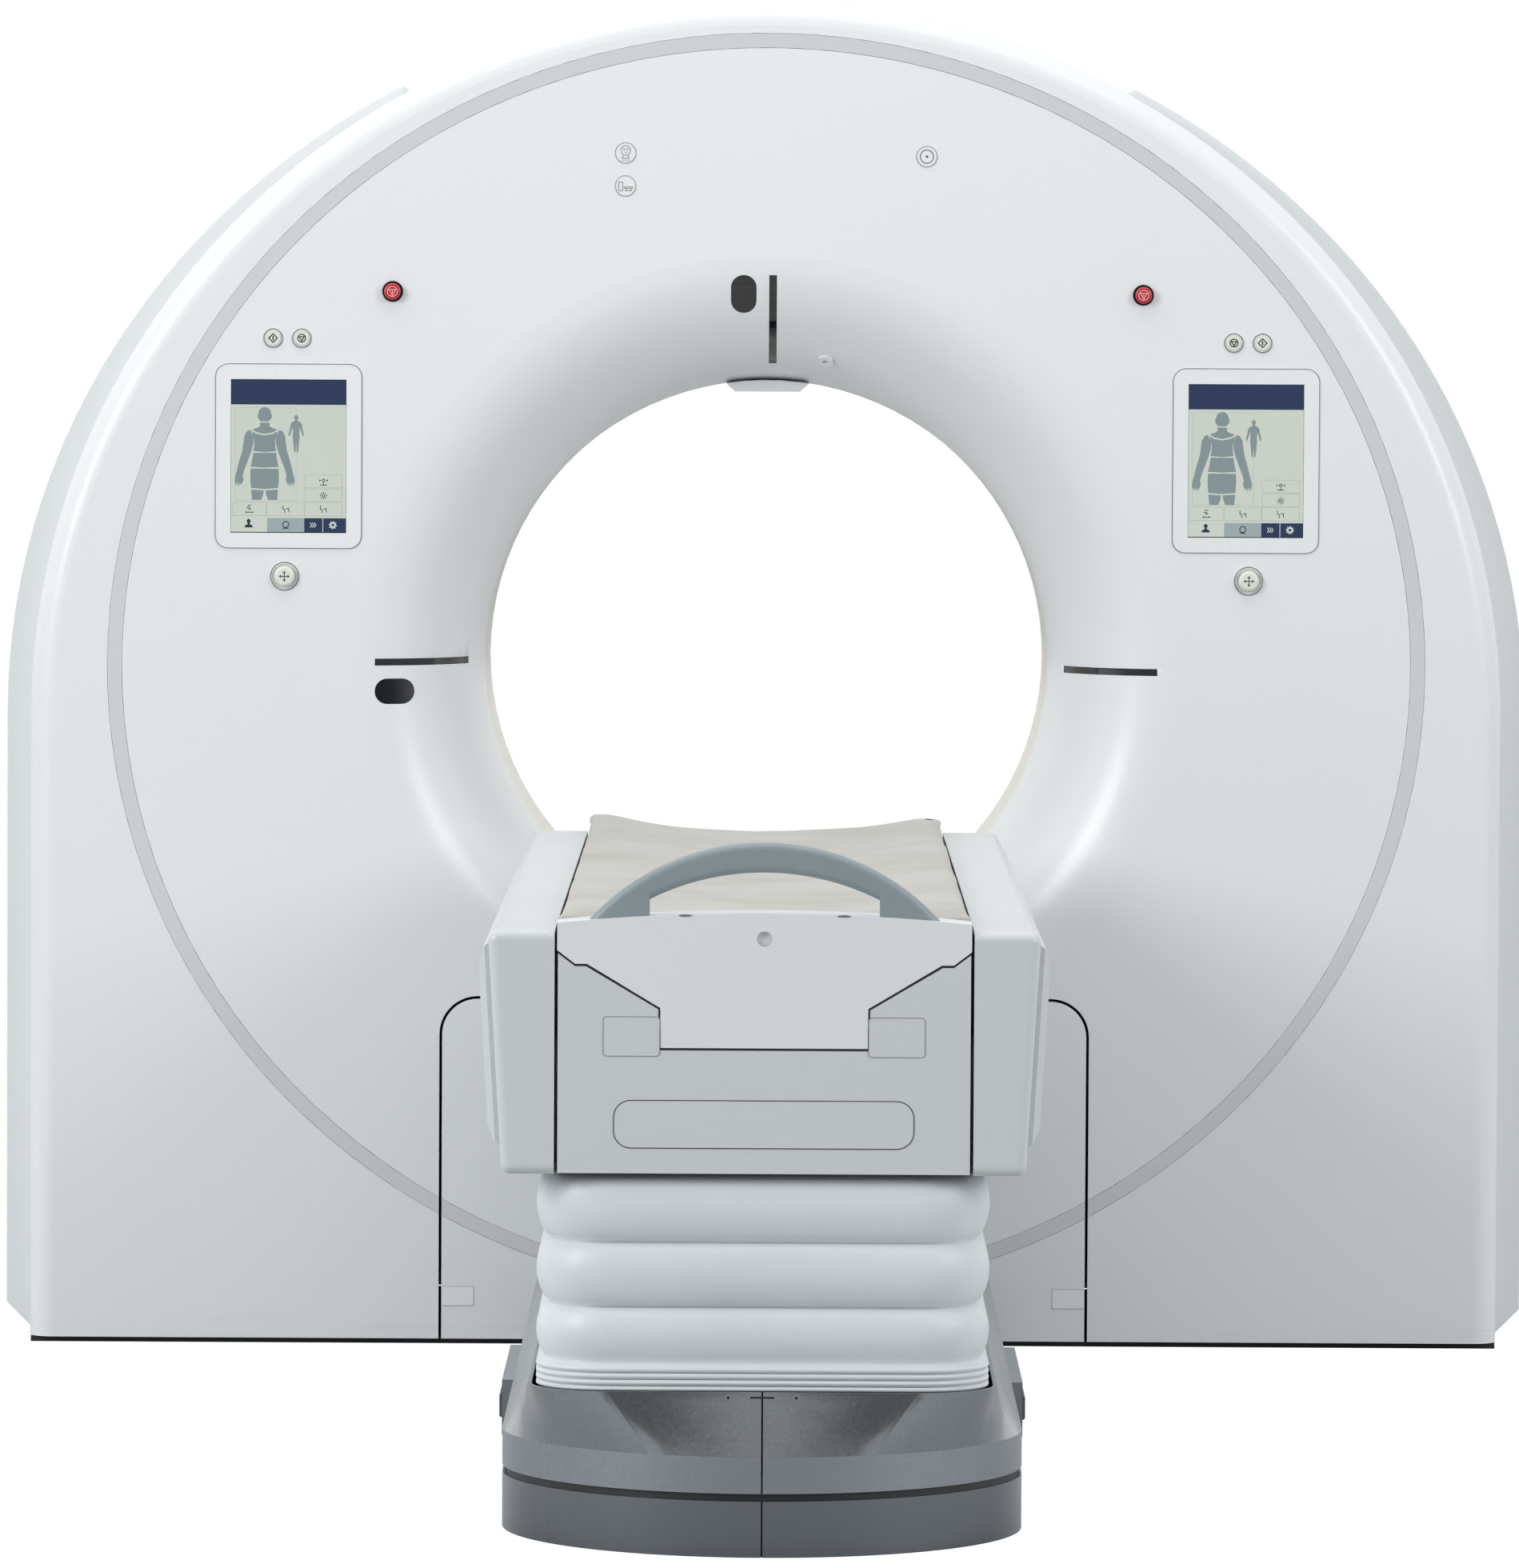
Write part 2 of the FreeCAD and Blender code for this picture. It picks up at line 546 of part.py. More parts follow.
def make_other_covers():
    outer = rounded_arch(0, REAR_Y, REAR_Y - COVER_DEPTH)
    inner = rounded_arch(SKIN, REAR_Y - SKIN, REAR_Y - COVER_DEPTH - 1)
    shell = outer.cut(inner).cut(rod_y(FLARE_RADIUS, REAR_Y - COVER_DEPTH, REAR_Y + 5))
    rear = shell.fuse(flare(REAR_Y, BORE_HALF))
    right = rear.common(box(REAR_SEAM / 2, COVER_HALF_WIDTH + 1, 0, REAR_Y + 1, 0, ROOF))
    seam = box(0, COVER_HALF_WIDTH + 1, 0, REAR_Y + 1, ISO_HEIGHT - REAR_SEAM / 2,
               ISO_HEIGHT + REAR_SEAM / 2)
    export("rear_cover", both_sides(right.cut(seam)))

    y0 = FACE_Y + COVER_DEPTH + FIT
    y1 = REAR_Y - COVER_DEPTH - FIT
    block = arch_y(SHELL_HALF_WIDTH, SHELL_RISE, y0, y1, chamfer=SHELL_CHAMFER)
    block = block.cut(arch_y(SHELL_HALF_WIDTH - SHELL_LIP, SHELL_RISE - SHELL_LIP_TOP,
                             y0 - 1, y1 + 1, COVER_FOOT - 1))
    block = block.common(box(SHELL_END_X, SHELL_HALF_WIDTH + 1, y0, y1, 0, ROOF))
    hollow = arch_y(SHELL_HALF_WIDTH - SKIN, SHELL_RISE - SKIN, y0 + SKIN, y1 - SKIN,
                    COVER_FOOT - 1, SHELL_CHAMFER)
    hollow = hollow.common(box(SHELL_END_X + SKIN, SHELL_HALF_WIDTH, y0, y1, 0, ROOF))
    side = block.cut(hollow)
    slots = [box(SHELL_HALF_WIDTH - SKIN - 1, SHELL_HALF_WIDTH + 1, *VENT_SPAN, low, high)
             for low, high in VENT_SLOTS]
    side = side.cut(slots)
    export("side_cover_right", side)
    export("side_cover_left", mirrored(side))
    back = SHELL_HALF_WIDTH - SKIN - FIT
    panel = box(back - VENT_PANEL, back, VENT_SPAN[0] - VENT_LAP, VENT_SPAN[1] + VENT_LAP,
                VENT_SLOTS[-1][0] - VENT_LAP, VENT_SLOTS[0][1] + VENT_LAP)
    export("vent_panels", both_sides(panel))

    half, rise = COVER_HALF_WIDTH - TOP_SETBACK, COVER_RISE - TOP_SETBACK
    top = arch_y(half, rise, y0, y1)
    top = top.cut(arch_y(half - SKIN, rise - SKIN, y0 - 1, y1 + 1, COVER_FOOT - 1))
    end = SHELL_END_X - FIT
    export("top_cover", top.common(box(-end, end, y0, y1, ARCH_HEIGHT, ROOF)))

    export("scan_window", ring_y(BORE_RADIUS, BORE_RADIUS + WINDOW_WALL,
                                 -BORE_HALF + FIT, BORE_HALF - FIT))
    pod = polygon_y([(x, ISO_HEIGHT + BORE_RADIUS + z) for x, z in POD_OUTLINE], *POD_Y)
    export("bore_camera_pod", pod.common(rod_y(BORE_RADIUS - TOUCH, FACE_Y, 0)))


def make_front_fittings():
    bezels, screens, housings = [], [], []
    for sign in (-1, 1):
        x = sign * DISPLAY_X
        frame = rounded_panel(DISPLAY_WIDTH, DISPLAY_HEIGHT, DISPLAY_CORNER,
                              FACE_Y - BEZEL_PROUD, FACE_Y + BEZEL_DEPTH, x, DISPLAY_Z)
        pocket = box(x - SCREEN_WIDTH / 2 - FIT, x + SCREEN_WIDTH / 2 + FIT,
                     FACE_Y - 2, FACE_Y + SCREEN_DEPTH, DISPLAY_Z - SCREEN_HEIGHT / 2 - FIT,
                     DISPLAY_Z + SCREEN_HEIGHT / 2 + FIT)
        bezels.append(frame.cut(pocket))
        screens.append(box(x - SCREEN_WIDTH / 2, x + SCREEN_WIDTH / 2,
                           FACE_Y - PROUD, FACE_Y + SCREEN_DEPTH - FIT,
                           DISPLAY_Z - SCREEN_HEIGHT / 2, DISPLAY_Z + SCREEN_HEIGHT / 2))
    export("display_bezels", Part.makeCompound(bezels))
    export("display_screens", Part.makeCompound(screens))
    for name, x, z, kind in control_places():
        housings.append(switch_housing(kind, x, z))
        export(name, control_cap(kind, x, z))
    export("control_rings", Part.makeCompound(housings))
    lenses = [rod_y(INDICATOR_RADIUS, FACE_Y - INDICATOR_PROUD, FACE_Y + INDICATOR_DEPTH, x, z)
              for x, z in INDICATORS]
    export("indicator_lenses", Part.makeCompound(lenses))


# ------------------------------------------------------------ gantry internals
def anchor_holes(half_x, places_y):
    """Holes for the floor anchors, two at each y."""
    return [Part.makeCylinder(ANCHOR_RADIUS, FLOOR_PLATE + 2, Vector(sign * half_x, y, -1))
            for sign in (-1, 1) for y in places_y]


def make_gantry_frame():
    half = COVER_HALF_WIDTH - 2
    plate = box(-half, half, FACE_Y + FLOOR_PLATE_INSET, REAR_Y - FLOOR_PLATE_INSET,
                0, FLOOR_PLATE)
    beam = box(BEAM_X - BEAM_WIDTH / 2, BEAM_X + BEAM_WIDTH / 2, *BEAM_Y, FLOOR_PLATE, BEAM_TOP)
    frame = plate.fuse([beam, mirrored(beam)])
    export("gantry_base_frame", frame.cut(anchor_holes(GANTRY_ANCHOR_X, GANTRY_ANCHOR_Y)))

    back = STATOR_Y + STATOR_THICKNESS
    ring = rod_y(STATOR_OUTER, STATOR_Y, back)
    leg = box(STATOR_LEG_X - STATOR_LEG_WIDTH / 2, STATOR_LEG_X + STATOR_LEG_WIDTH / 2,
              STATOR_Y, back, BEAM_TOP, ISO_HEIGHT)
    frame = ring.fuse([leg, mirrored(leg)])
    export("stator_frame", frame.cut(rod_y(STATOR_INNER, STATOR_Y - 1, back + 1)))

    inner = RACE_RADIUS + RACE_GAP / 2
    export("bearing_outer_race", ring_y(inner, inner + RACE_THICKNESS,
                                        STATOR_Y - OUTER_RACE_LENGTH, STATOR_Y))
    half, thick, foot, top = BRUSH_ARM
    arm = box(-half, half, back, back + thick, ISO_HEIGHT - foot, ISO_HEIGHT - top)
    brushes = box(-BRUSH_HALF, BRUSH_HALF, SLIP_BACK + FIT, back,
                  ISO_HEIGHT - BRUSH_FOOT, ISO_HEIGHT - top)
    export("brush_block", arm.fuse(brushes))

    start = BELT_Y + BELT_WIDTH + MOTOR_GAP
    motor = rod_y(MOTOR_RADIUS, start, start + MOTOR_LENGTH, PULLEY_X, PULLEY_Z)
    foot = box(PULLEY_X - MOTOR_FOOT_HALF, PULLEY_X + MOTOR_FOOT_HALF, start + MOTOR_FOOT_SETBACK,
               start + MOTOR_LENGTH - MOTOR_FOOT_SETBACK, FLOOR_PLATE, PULLEY_Z)
    shaft = rod_y(SHAFT_RADIUS, BELT_Y - 2, start, PULLEY_X, PULLEY_Z)
    export("drive_motor", motor.fuse([foot, shaft]))
    export("motor_pulley", ring_y(SHAFT_RADIUS + TOUCH, PULLEY_RADIUS, BELT_Y - PULLEY_FLANGE,
                                  BELT_Y + BELT_WIDTH + PULLEY_FLANGE, PULLEY_X, PULLEY_Z))
    export("drive_belt", belt_loop(TOUCH + BELT_THICKNESS).cut(belt_loop(TOUCH, 1)))


def belt_loop(grow, proud=0.0):
    """Everything inside the drum and pulley's common loop, grown by grow."""
    big, small = DRUM_RADIUS + grow, PULLEY_RADIUS + grow
    across, down = PULLEY_X, PULLEY_Z - ISO_HEIGHT
    distance = math.hypot(across, down)
    heading = math.atan2(down, across)
    spread = math.acos((DRUM_RADIUS - PULLEY_RADIUS) / distance)

    def at(x, z, radius, angle):
        return Vector(x + radius * math.cos(angle), 0, z + radius * math.sin(angle))

    drum_high = at(0, ISO_HEIGHT, big, heading + spread)
    drum_low = at(0, ISO_HEIGHT, big, heading - spread)
    drum_far = at(0, ISO_HEIGHT, big, heading + math.pi)
    pulley_high = at(PULLEY_X, PULLEY_Z, small, heading + spread)
    pulley_low = at(PULLEY_X, PULLEY_Z, small, heading - spread)
    pulley_far = at(PULLEY_X, PULLEY_Z, small, heading)
    edges = [arc(drum_high, drum_far, drum_low), line(drum_low, pulley_low),
             arc(pulley_low, pulley_far, pulley_high), line(pulley_high, drum_high)]
    return extrude_y(edges, BELT_Y - proud, BELT_Y + BELT_WIDTH + proud)


def make_rotor():
    back = DRUM_Y + DRUM_PLATE
    plate = ring_y(DRUM_INNER, DRUM_RADIUS, DRUM_Y, back)
    rim = ring_y(DRUM_RADIUS - DRUM_RIM, DRUM_RADIUS, DRUM_Y, DRUM_Y + DRUM_RIM_LENGTH)
    export("rotor_drum", plate.fuse(rim))
    outer = RACE_RADIUS - RACE_GAP / 2
    export("bearing_inner_race", ring_y(outer - INNER_RACE_THICKNESS, outer, back,
                                        STATOR_Y - INNER_RACE_GAP))
    export("slip_ring", ring_y(*SLIP_RADII, back, SLIP_BACK))

    focus = ISO_HEIGHT + TUBE_DISTANCE
    export("xray_tube_housing", rod_y(TUBE_RADIUS, DRUM_Y - TUBE_LENGTH, DRUM_Y, 0, focus))
    top = focus - TUBE_RADIUS - COLLIMATOR_GAP
    export("collimator", box(-COLLIMATOR_HALF, COLLIMATOR_HALF, DRUM_Y - COLLIMATOR_LENGTH, DRUM_Y,
                             top - COLLIMATOR_HEIGHT, top))

    fan = math.radians(DETECTOR_HALF_FAN)

    def on_arc(radius, angle):
        return Vector(radius * math.sin(angle), 0, focus - radius * math.cos(angle))

    far = DETECTOR_DISTANCE + DETECTOR_THICKNESS
    edges = [arc(on_arc(DETECTOR_DISTANCE, -fan), on_arc(DETECTOR_DISTANCE, 0),
                 on_arc(DETECTOR_DISTANCE, fan)),
             line(on_arc(DETECTOR_DISTANCE, fan), on_arc(far, fan)),
             arc(on_arc(far, fan), on_arc(far, 0), on_arc(far, -fan)),
             line(on_arc(far, -fan), on_arc(DETECTOR_DISTANCE, -fan))]
    export("detector_arc", extrude_y(edges, DRUM_Y - DETECTOR_DEPTH, DRUM_Y))

    unit = box(UNIT_INNER, UNIT_INNER + UNIT_LENGTH, DRUM_Y - UNIT_DEPTH, DRUM_Y,
               ISO_HEIGHT - UNIT_HEIGHT / 2, ISO_HEIGHT + UNIT_HEIGHT / 2)
    export("high_voltage_generator", unit)
    export("heat_exchanger", mirrored(unit))


# ---------------------------------------------------------------- couch base
def base_wire(inset, z):
    """Plan of the couch base: straight sides and a round front."""
    half = BASE_HALF_WIDTH - inset

    def front(degrees):
        angle = math.radians(degrees)
        return Vector(half * math.cos(angle), BASE_ROUND_Y - half * math.sin(angle), z)

    rear_y = BASE_REAR - inset
    edges = [line(Vector(-half, rear_y, z), Vector(half, rear_y, z)),
             line(Vector(half, rear_y, z), front(0))]
    for start, end in zip(FRONT_STOPS, FRONT_STOPS[1:]):
        edges.append(arc(front(start), front((start + end) / 2), front(end)))
    edges.append(line(front(180), Vector(-half, rear_y, z)))
    return Part.Wire(edges)


def rim_wire(inset, z):
    """Top edge of the base covers, in step with base_wire."""
    half = BELLOWS_HALF + BELLOWS_GAP + BASE_WALL - inset
    front_y = COUCH_FRONT + BELLOWS_SETBACK - BELLOWS_GAP - BASE_WALL + inset
    corner = BELLOWS_CORNER + BELLOWS_GAP + BASE_WALL - inset
    diagonal = corner * (1 - math.sqrt(0.5))
    rear_y = BASE_REAR - inset
    right = [Vector(half, rear_y, z), Vector(half, BASE_ROUND_Y, z),
             Vector(half, front_y + corner, z)]
    bend = Vector(half - diagonal, front_y + diagonal, z)
    ahead = Vector(half - corner, front_y, z)

    def flip(p):
        return Vector(-p.x, p.y, p.z)

    edges = [line(flip(right[0]), right[0]), line(right[0], right[1]), line(right[1], right[2]),
             arc(right[2], bend, ahead), line(ahead, flip(ahead)),
             arc(flip(ahead), flip(bend), flip(right[2])), line(flip(right[2]), flip(right[1])),
             line(flip(right[1]), flip(right[0]))]
    return Part.Wire(edges)


def base_prism(inset, z0, z1):
    return Part.Face(base_wire(inset, z0)).extrude(Vector(0, 0, z1 - z0))


def bellows_prism(grow, z0, z1):
    """Rounded rectangle round the lift, front and rear corners alike."""
    half = BELLOWS_HALF + grow
    block = box(-half, half, COUCH_FRONT + BELLOWS_SETBACK - grow, BELLOWS_REAR + grow, z0, z1)
    upright = [e for e in block.Edges if abs(e.tangentAt(e.FirstParameter).z) > 0.99]
    return block.makeFillet(BELLOWS_CORNER + grow, upright)


def square_tube(size, wall, y, z0, z1):
    half = size / 2
    hollow = half - wall
    tube = box(-half, half, y - half, y + half, z0, z1)
    return tube.cut(box(-hollow, hollow, y - hollow, y + hollow, z0 - 1, z1 + 1))


def right_half(shape):
    """The half at +X, short of the centre seam."""
    return shape.common(box(SEAM / 4, ROOF, 2 * COUCH_FRONT, 0, -1, ROOF))


def make_couch_base():
    plate = base_prism(FRAME_INSET, 0, FLOOR_PLATE)
    tongue = box(-TONGUE_HALF, TONGUE_HALF, BASE_REAR - 20, FACE_Y + FLOOR_PLATE_INSET,
                 0, FLOOR_PLATE)
    wall = base_prism(FRAME_INSET, FLOOR_PLATE, FRAME_TOP)
    wall = wall.cut(base_prism(FRAME_INSET + FRAME_WALL, 0, FRAME_TOP + 1))
    beam = box(*BASE_BEAM_X, *BASE_BEAM_Y, FLOOR_PLATE, BASE_BEAM_TOP)
    frame = plate.fuse([tongue, wall, beam, mirrored(beam)])
    export("couch_base_frame", frame.cut(anchor_holes(COUCH_ANCHOR_X, COUCH_ANCHOR_Y)))

    skirt = base_prism(0, 0, SKIRT_TOP).cut(base_prism(BASE_WALL, -1, SKIRT_TOP + 1))
    skirt = skirt.cut(box(-TONGUE_HALF - FIT, TONGUE_HALF + FIT, BASE_REAR - 21, FACE_Y + 1,
                          -1, FLOOR_PLATE + FIT))
    export("base_skirts", both_sides(right_half(skirt)))

    outside = base_prism(0, UPPER_FOOT, SHOULDER_Z)
    outside = outside.fuse(Part.makeLoft([base_wire(0, SHOULDER_Z), rim_wire(0, RIM_Z)],
                                         True, True))
    inside = base_prism(BASE_WALL, UPPER_FOOT - 1, SHOULDER_Z)
    inside = inside.fuse(Part.makeLoft([base_wire(BASE_WALL, SHOULDER_Z),
                                        rim_wire(BASE_WALL, RIM_Z - BASE_WALL)], True, True))
    cover = outside.cut(inside).cut(bellows_prism(BELLOWS_GAP, SHOULDER_Z, RIM_Z + 10))
    right = right_half(cover)
    export("base_cover_left", mirrored(right))
    export("base_cover_right", right)

    stages = [square_tube(LIFT_SIZE, LIFT_WALL, y, FLOOR_PLATE, OUTER_STAGE_TOP) for y in LIFT_Y]
    export("lift_outer_columns", Part.makeCompound(stages))
    size = LIFT_SIZE - 2 * LIFT_WALL - 2 * LIFT_FIT
    stages = [square_tube(size, LIFT_WALL, y, *MIDDLE_STAGE) for y in LIFT_Y]
    export("lift_middle_columns", Part.makeCompound(stages))
    make_pedals()


def make_pedals():
    back = BASE_HALF_WIDTH + TOUCH
    well = back + PEDAL_BACK
    face = well + PEDAL_THICKNESS
    half = PEDAL_LENGTH / 2 + PEDAL_ROOM
    tall = PEDAL_HEIGHT / 2 + PEDAL_ROOM
    housing = box(back, face, PEDAL_Y - half - PEDAL_RIM, PEDAL_Y + half + PEDAL_RIM,
                  PEDAL_Z - tall - PEDAL_RIM, PEDAL_Z + tall + PEDAL_RIM)
    housing = housing.cut(box(well, face + 1, PEDAL_Y - half, PEDAL_Y + half,
                              PEDAL_Z - tall, PEDAL_Z + tall))
    pin_hole = Part.makeCylinder(PEDAL_PIN + TOUCH, PEDAL_BACK + 2,
                                 Vector(back - 1, PEDAL_Y, PEDAL_Z), Vector(1, 0, 0))
    export("pedal_housings", both_sides(housing.cut(pin_hole)))
    pedal = box(well + PEDAL_CLEAR, face + PEDAL_PROUD,
                PEDAL_Y - PEDAL_LENGTH / 2, PEDAL_Y + PEDAL_LENGTH / 2,
                PEDAL_Z - PEDAL_HEIGHT / 2, PEDAL_Z + PEDAL_HEIGHT / 2)
    outer = [e for e in pedal.Edges if e.BoundBox.XMin > face + PEDAL_PROUD - 1]
    pedal = pedal.makeFillet(PEDAL_EDGE, outer)
    pin = Part.makeCylinder(PEDAL_PIN, PEDAL_BACK + 2, Vector(back + 0.5, PEDAL_Y, PEDAL_Z),
                            Vector(1, 0, 0))
    pedal = pedal.fuse(pin)
    export("foot_pedal_right", pedal)
    export("foot_pedal_left", mirrored(pedal))


# --------------------------------------------------------------------- couch
def end_cap_edges(inset):
    """Outline of the tabletop's end cap, arched at the top, with its keel."""
    side = CHANNEL_HALF + 1 - inset
    slant = inset * 0.4
    low = [(side, CAP_TOP - inset), (side, CAP_SIDE_Z + slant),
           (CAP_STEP_OUTER - slant, CAP_STEP_Z + inset),
           (CAP_STEP_INNER - slant, CAP_STEP_Z + inset),
           (CAP_KEEL_HALF - inset, CAP_KEEL_TOP + inset * 0.8),
           (CAP_KEEL_HALF - inset, CAP_KEEL_BOTTOM + inset)]
    outline = low + [(-x, z) for x, z in reversed(low)]
    corners = [Vector(x, 0, z) for x, z in outline]
    edges = [line(p, q) for p, q in zip(corners, corners[1:])]
    crown = Vector(0, 0, CAP_TOP + CAP_ARCH - inset)
    return edges + [arc(corners[-1], crown, corners[0])]


def curved_strip(half, top_z, dip, edge, middle, y0, y1):
    """Long strip, hollow along its top: its edges are thinner than its middle."""
    edges = [arc(Vector(-half, 0, top_z), Vector(0, 0, top_z - dip), Vector(half, 0, top_z)),
             line(Vector(half, 0, top_z), Vector(half, 0, top_z - edge)),
             arc(Vector(half, 0, top_z - edge), Vector(0, 0, top_z - dip - middle),
                 Vector(-half, 0, top_z - edge)),
             line(Vector(-half, 0, top_z - edge), Vector(-half, 0, top_z))]
    return extrude_y(edges, y0, y1)


def make_couch_body():
    tray_z = COUCH_BOTTOM + COUCH_SKIN + FIT
    front = COUCH_FRONT + COUCH_SKIN + FIT
    rear = COUCH_REAR - COUCH_SKIN - FIT
    plate = box(-TRAY_HALF, TRAY_HALF, front, rear, tray_z, tray_z + TRAY_PLATE)
    middle = RAIL_INNER + RAIL_WIDTH / 2
    web = box(middle - RAIL_WEB / 2, middle + RAIL_WEB / 2, front + RAIL_SETBACK, rear,
              tray_z + TRAY_PLATE, RAIL_TOP - RAIL_HEAD)
    head = box(RAIL_INNER, RAIL_INNER + RAIL_WIDTH, front + RAIL_SETBACK, rear,
               RAIL_TOP - RAIL_HEAD, RAIL_TOP)
    rail = web.fuse(head)
    size = LIFT_SIZE - 4 * LIFT_WALL - 4 * LIFT_FIT
    stages = [square_tube(size, LIFT_WALL, y, INNER_STAGE_FOOT, tray_z) for y in LIFT_Y]
    export("couch_frame", plate.fuse([rail, mirrored(rail)] + stages))

    seam_x = CHANNEL_HALF + SEAM
    block = polygon_y([(seam_x, COUCH_TOP), (COUCH_HALF_WIDTH, COUCH_TOP),
                       (COUCH_HALF_BOTTOM, COUCH_BOTTOM), (seam_x, COUCH_BOTTOM)],
                      COUCH_FRONT, COUCH_REAR)
    rounded = []
    for e in block.Edges:
        middle_point = e.CenterOfMass
        outer = middle_point.x > COUCH_HALF_BOTTOM - 2 and e.BoundBox.YLength > 100
        end = e.BoundBox.YLength < 0.01 and abs(middle_point.y - COUCH_FRONT) < 0.01
        inner = middle_point.x < seam_x + 0.01
        if outer or (end and not inner):
            rounded.append(e)
    block = block.makeFillet(COUCH_EDGE, rounded)
    hollow = polygon_y([(100, COUCH_TOP - COUCH_SKIN),
                        (COUCH_HALF_WIDTH - COUCH_SKIN - 0.3, COUCH_TOP - COUCH_SKIN),
                        (COUCH_HALF_BOTTOM - COUCH_SKIN + 0.3, COUCH_BOTTOM + COUCH_SKIN),
                        (100, COUCH_BOTTOM + COUCH_SKIN)],
                       COUCH_FRONT + COUCH_SKIN, COUCH_REAR - COUCH_SKIN)
    side = block.cut(hollow)
    export("couch_side_cover_right", side)
    export("couch_side_cover_left", mirrored(side))

    lean = (COUCH_HALF_WIDTH - COUCH_HALF_BOTTOM) / (COUCH_TOP - COUCH_BOTTOM)

    def skin_x(z):
        return COUCH_HALF_BOTTOM + (z - COUCH_BOTTOM) * lean + TOUCH

    trim = polygon_y([(skin_x(z) + proud, z) for z, proud in TRIM_PROFILE],
                     COUCH_FRONT + TRIM_SETBACK, COUCH_REAR - TRIM_SETBACK)
    ends = [e for e in trim.Edges if e.BoundBox.YLength < 0.01
            and e.CenterOfMass.x > skin_x(e.CenterOfMass.z) + TRIM_PROUD - 1]
    export("side_trims", both_sides(trim.makeChamfer(TRIM_CHAMFER, ends)))

    make_end_cover()


def make_end_cover():
    back = COUCH_FRONT + COUCH_SKIN
    cover = box(-CHANNEL_HALF, CHANNEL_HALF, COUCH_FRONT, back, COUCH_BOTTOM + 2,
                CAP_SIDE_Z)
    beyond = CHANNEL_HALF + COUCH_HALF_WIDTH
    notch = [(-beyond, ROOF), (-beyond, CAP_SIDE_Z), (-CHANNEL_HALF, CAP_SIDE_Z - CAP_GAP - 1),
             (-CAP_STEP_OUTER, CAP_STEP_Z - CAP_GAP), (-CAP_STEP_INNER - 1, CAP_STEP_Z - CAP_GAP),
             (-CAP_KEEL_HALF - CAP_GAP, CAP_KEEL_TOP - CAP_GAP / 2),
             (-CAP_KEEL_HALF - CAP_GAP, CAP_KEEL_BOTTOM - CAP_GAP)]
    notch = notch + [(-x, z) for x, z in reversed(notch)]
    cover = cover.cut(polygon_y(notch, COUCH_FRONT - 1, back + 1))
    hatches = [(0.0, HATCH_Z, HATCH_WIDTH, HATCH_HEIGHT, HATCH_CORNER),
               (-FLAP_X, FLAP_Z, FLAP_WIDTH, FLAP_HEIGHT, FLAP_CORNER),
               (FLAP_X, FLAP_Z, FLAP_WIDTH, FLAP_HEIGHT, FLAP_CORNER)]
    lids = []
    for x, z, width, height, corner in hatches:
        cover = cover.cut(rounded_panel(width + 2 * FIT, height + 2 * FIT, corner + FIT,
                                        COUCH_FRONT - 1, back + 1, x, z))
        lids.append(rounded_panel(width, height, corner, COUCH_FRONT - HATCH_PROUD, back, x, z))
    export("couch_end_cover", cover)
    export("end_hatches", Part.makeCompound(lids))

    tube = bellows_prism(0, BELLOWS_FOOT, COUCH_BOTTOM - FIT)
    tube = tube.cut(bellows_prism(-BELLOWS_WALL, BELLOWS_FOOT - 1, COUCH_BOTTOM + 1))
    export("bellows", tube)


def make_tabletop():
    cap_front = COUCH_FRONT
    cap_back = COUCH_FRONT + CAP_DEPTH
    block = extrude_y(end_cap_edges(0), cap_front, cap_back)
    cap = block.cut(extrude_y(end_cap_edges(CAP_SKIN), cap_front + CAP_SKIN, cap_back + 1))
    cap = cap.cut(rod_y(CAP_HOLE_RADIUS, cap_front - 1, cap_front + CAP_SKIN + 1, 0, CAP_HOLE_Z))
    export("end_cap", cap)

    cradle = curved_strip(CRADLE_HALF, CRADLE_EDGE_Z, CRADLE_DIP, CRADLE_EDGE,
                          CRADLE_THICKNESS, cap_front + CAP_SKIN, COUCH_REAR - CRADLE_SETBACK)
    runner = box(RAIL_INNER, RAIL_INNER + RAIL_WIDTH, cap_back + RUNNER_SETBACK,
                 COUCH_REAR - RUNNER_SETBACK, RAIL_TOP + TOUCH, CRADLE_EDGE_Z - CRADLE_EDGE)
    export("cradle", cradle.fuse([runner, mirrored(runner)]))

    pad_z = CRADLE_EDGE_Z + TOUCH + PAD_THICKNESS
    export("mattress", curved_strip(CRADLE_HALF, pad_z, CRADLE_DIP, PAD_THICKNESS, PAD_THICKNESS,
                                    cap_back + PAD_GAP, COUCH_REAR - PAD_SETBACK))

    foot = CAP_TOP - HANDLE_SUNK
    outer = [Vector(-HANDLE_HALF_OUTER, 0, foot), Vector(0, 0, HANDLE_TOP),
             Vector(HANDLE_HALF_OUTER, 0, foot)]
    inner = [Vector(HANDLE_HALF_INNER, 0, HANDLE_SHOULDER),
             Vector(0, 0, HANDLE_TOP - HANDLE_BAR),
             Vector(-HANDLE_HALF_INNER, 0, HANDLE_SHOULDER)]
    right_foot = Vector(HANDLE_HALF_INNER, 0, foot)
    left_foot = Vector(-HANDLE_HALF_INNER, 0, foot)
    edges = [arc(*outer), line(outer[2], right_foot), line(right_foot, inner[0]), arc(*inner),
             line(inner[2], left_foot), line(left_foot, outer[0])]
    y0 = cap_front + HANDLE_SETBACK
    grip = extrude_y(edges, y0, y0 + HANDLE_DEPTH)
    long_edges = [e for e in grip.Edges if e.BoundBox.YLength < 0.01 and e.Length > 200]
    grip = grip.makeFillet(HANDLE_ROUND, long_edges)
    export("grab_handle", grip.cut(block))


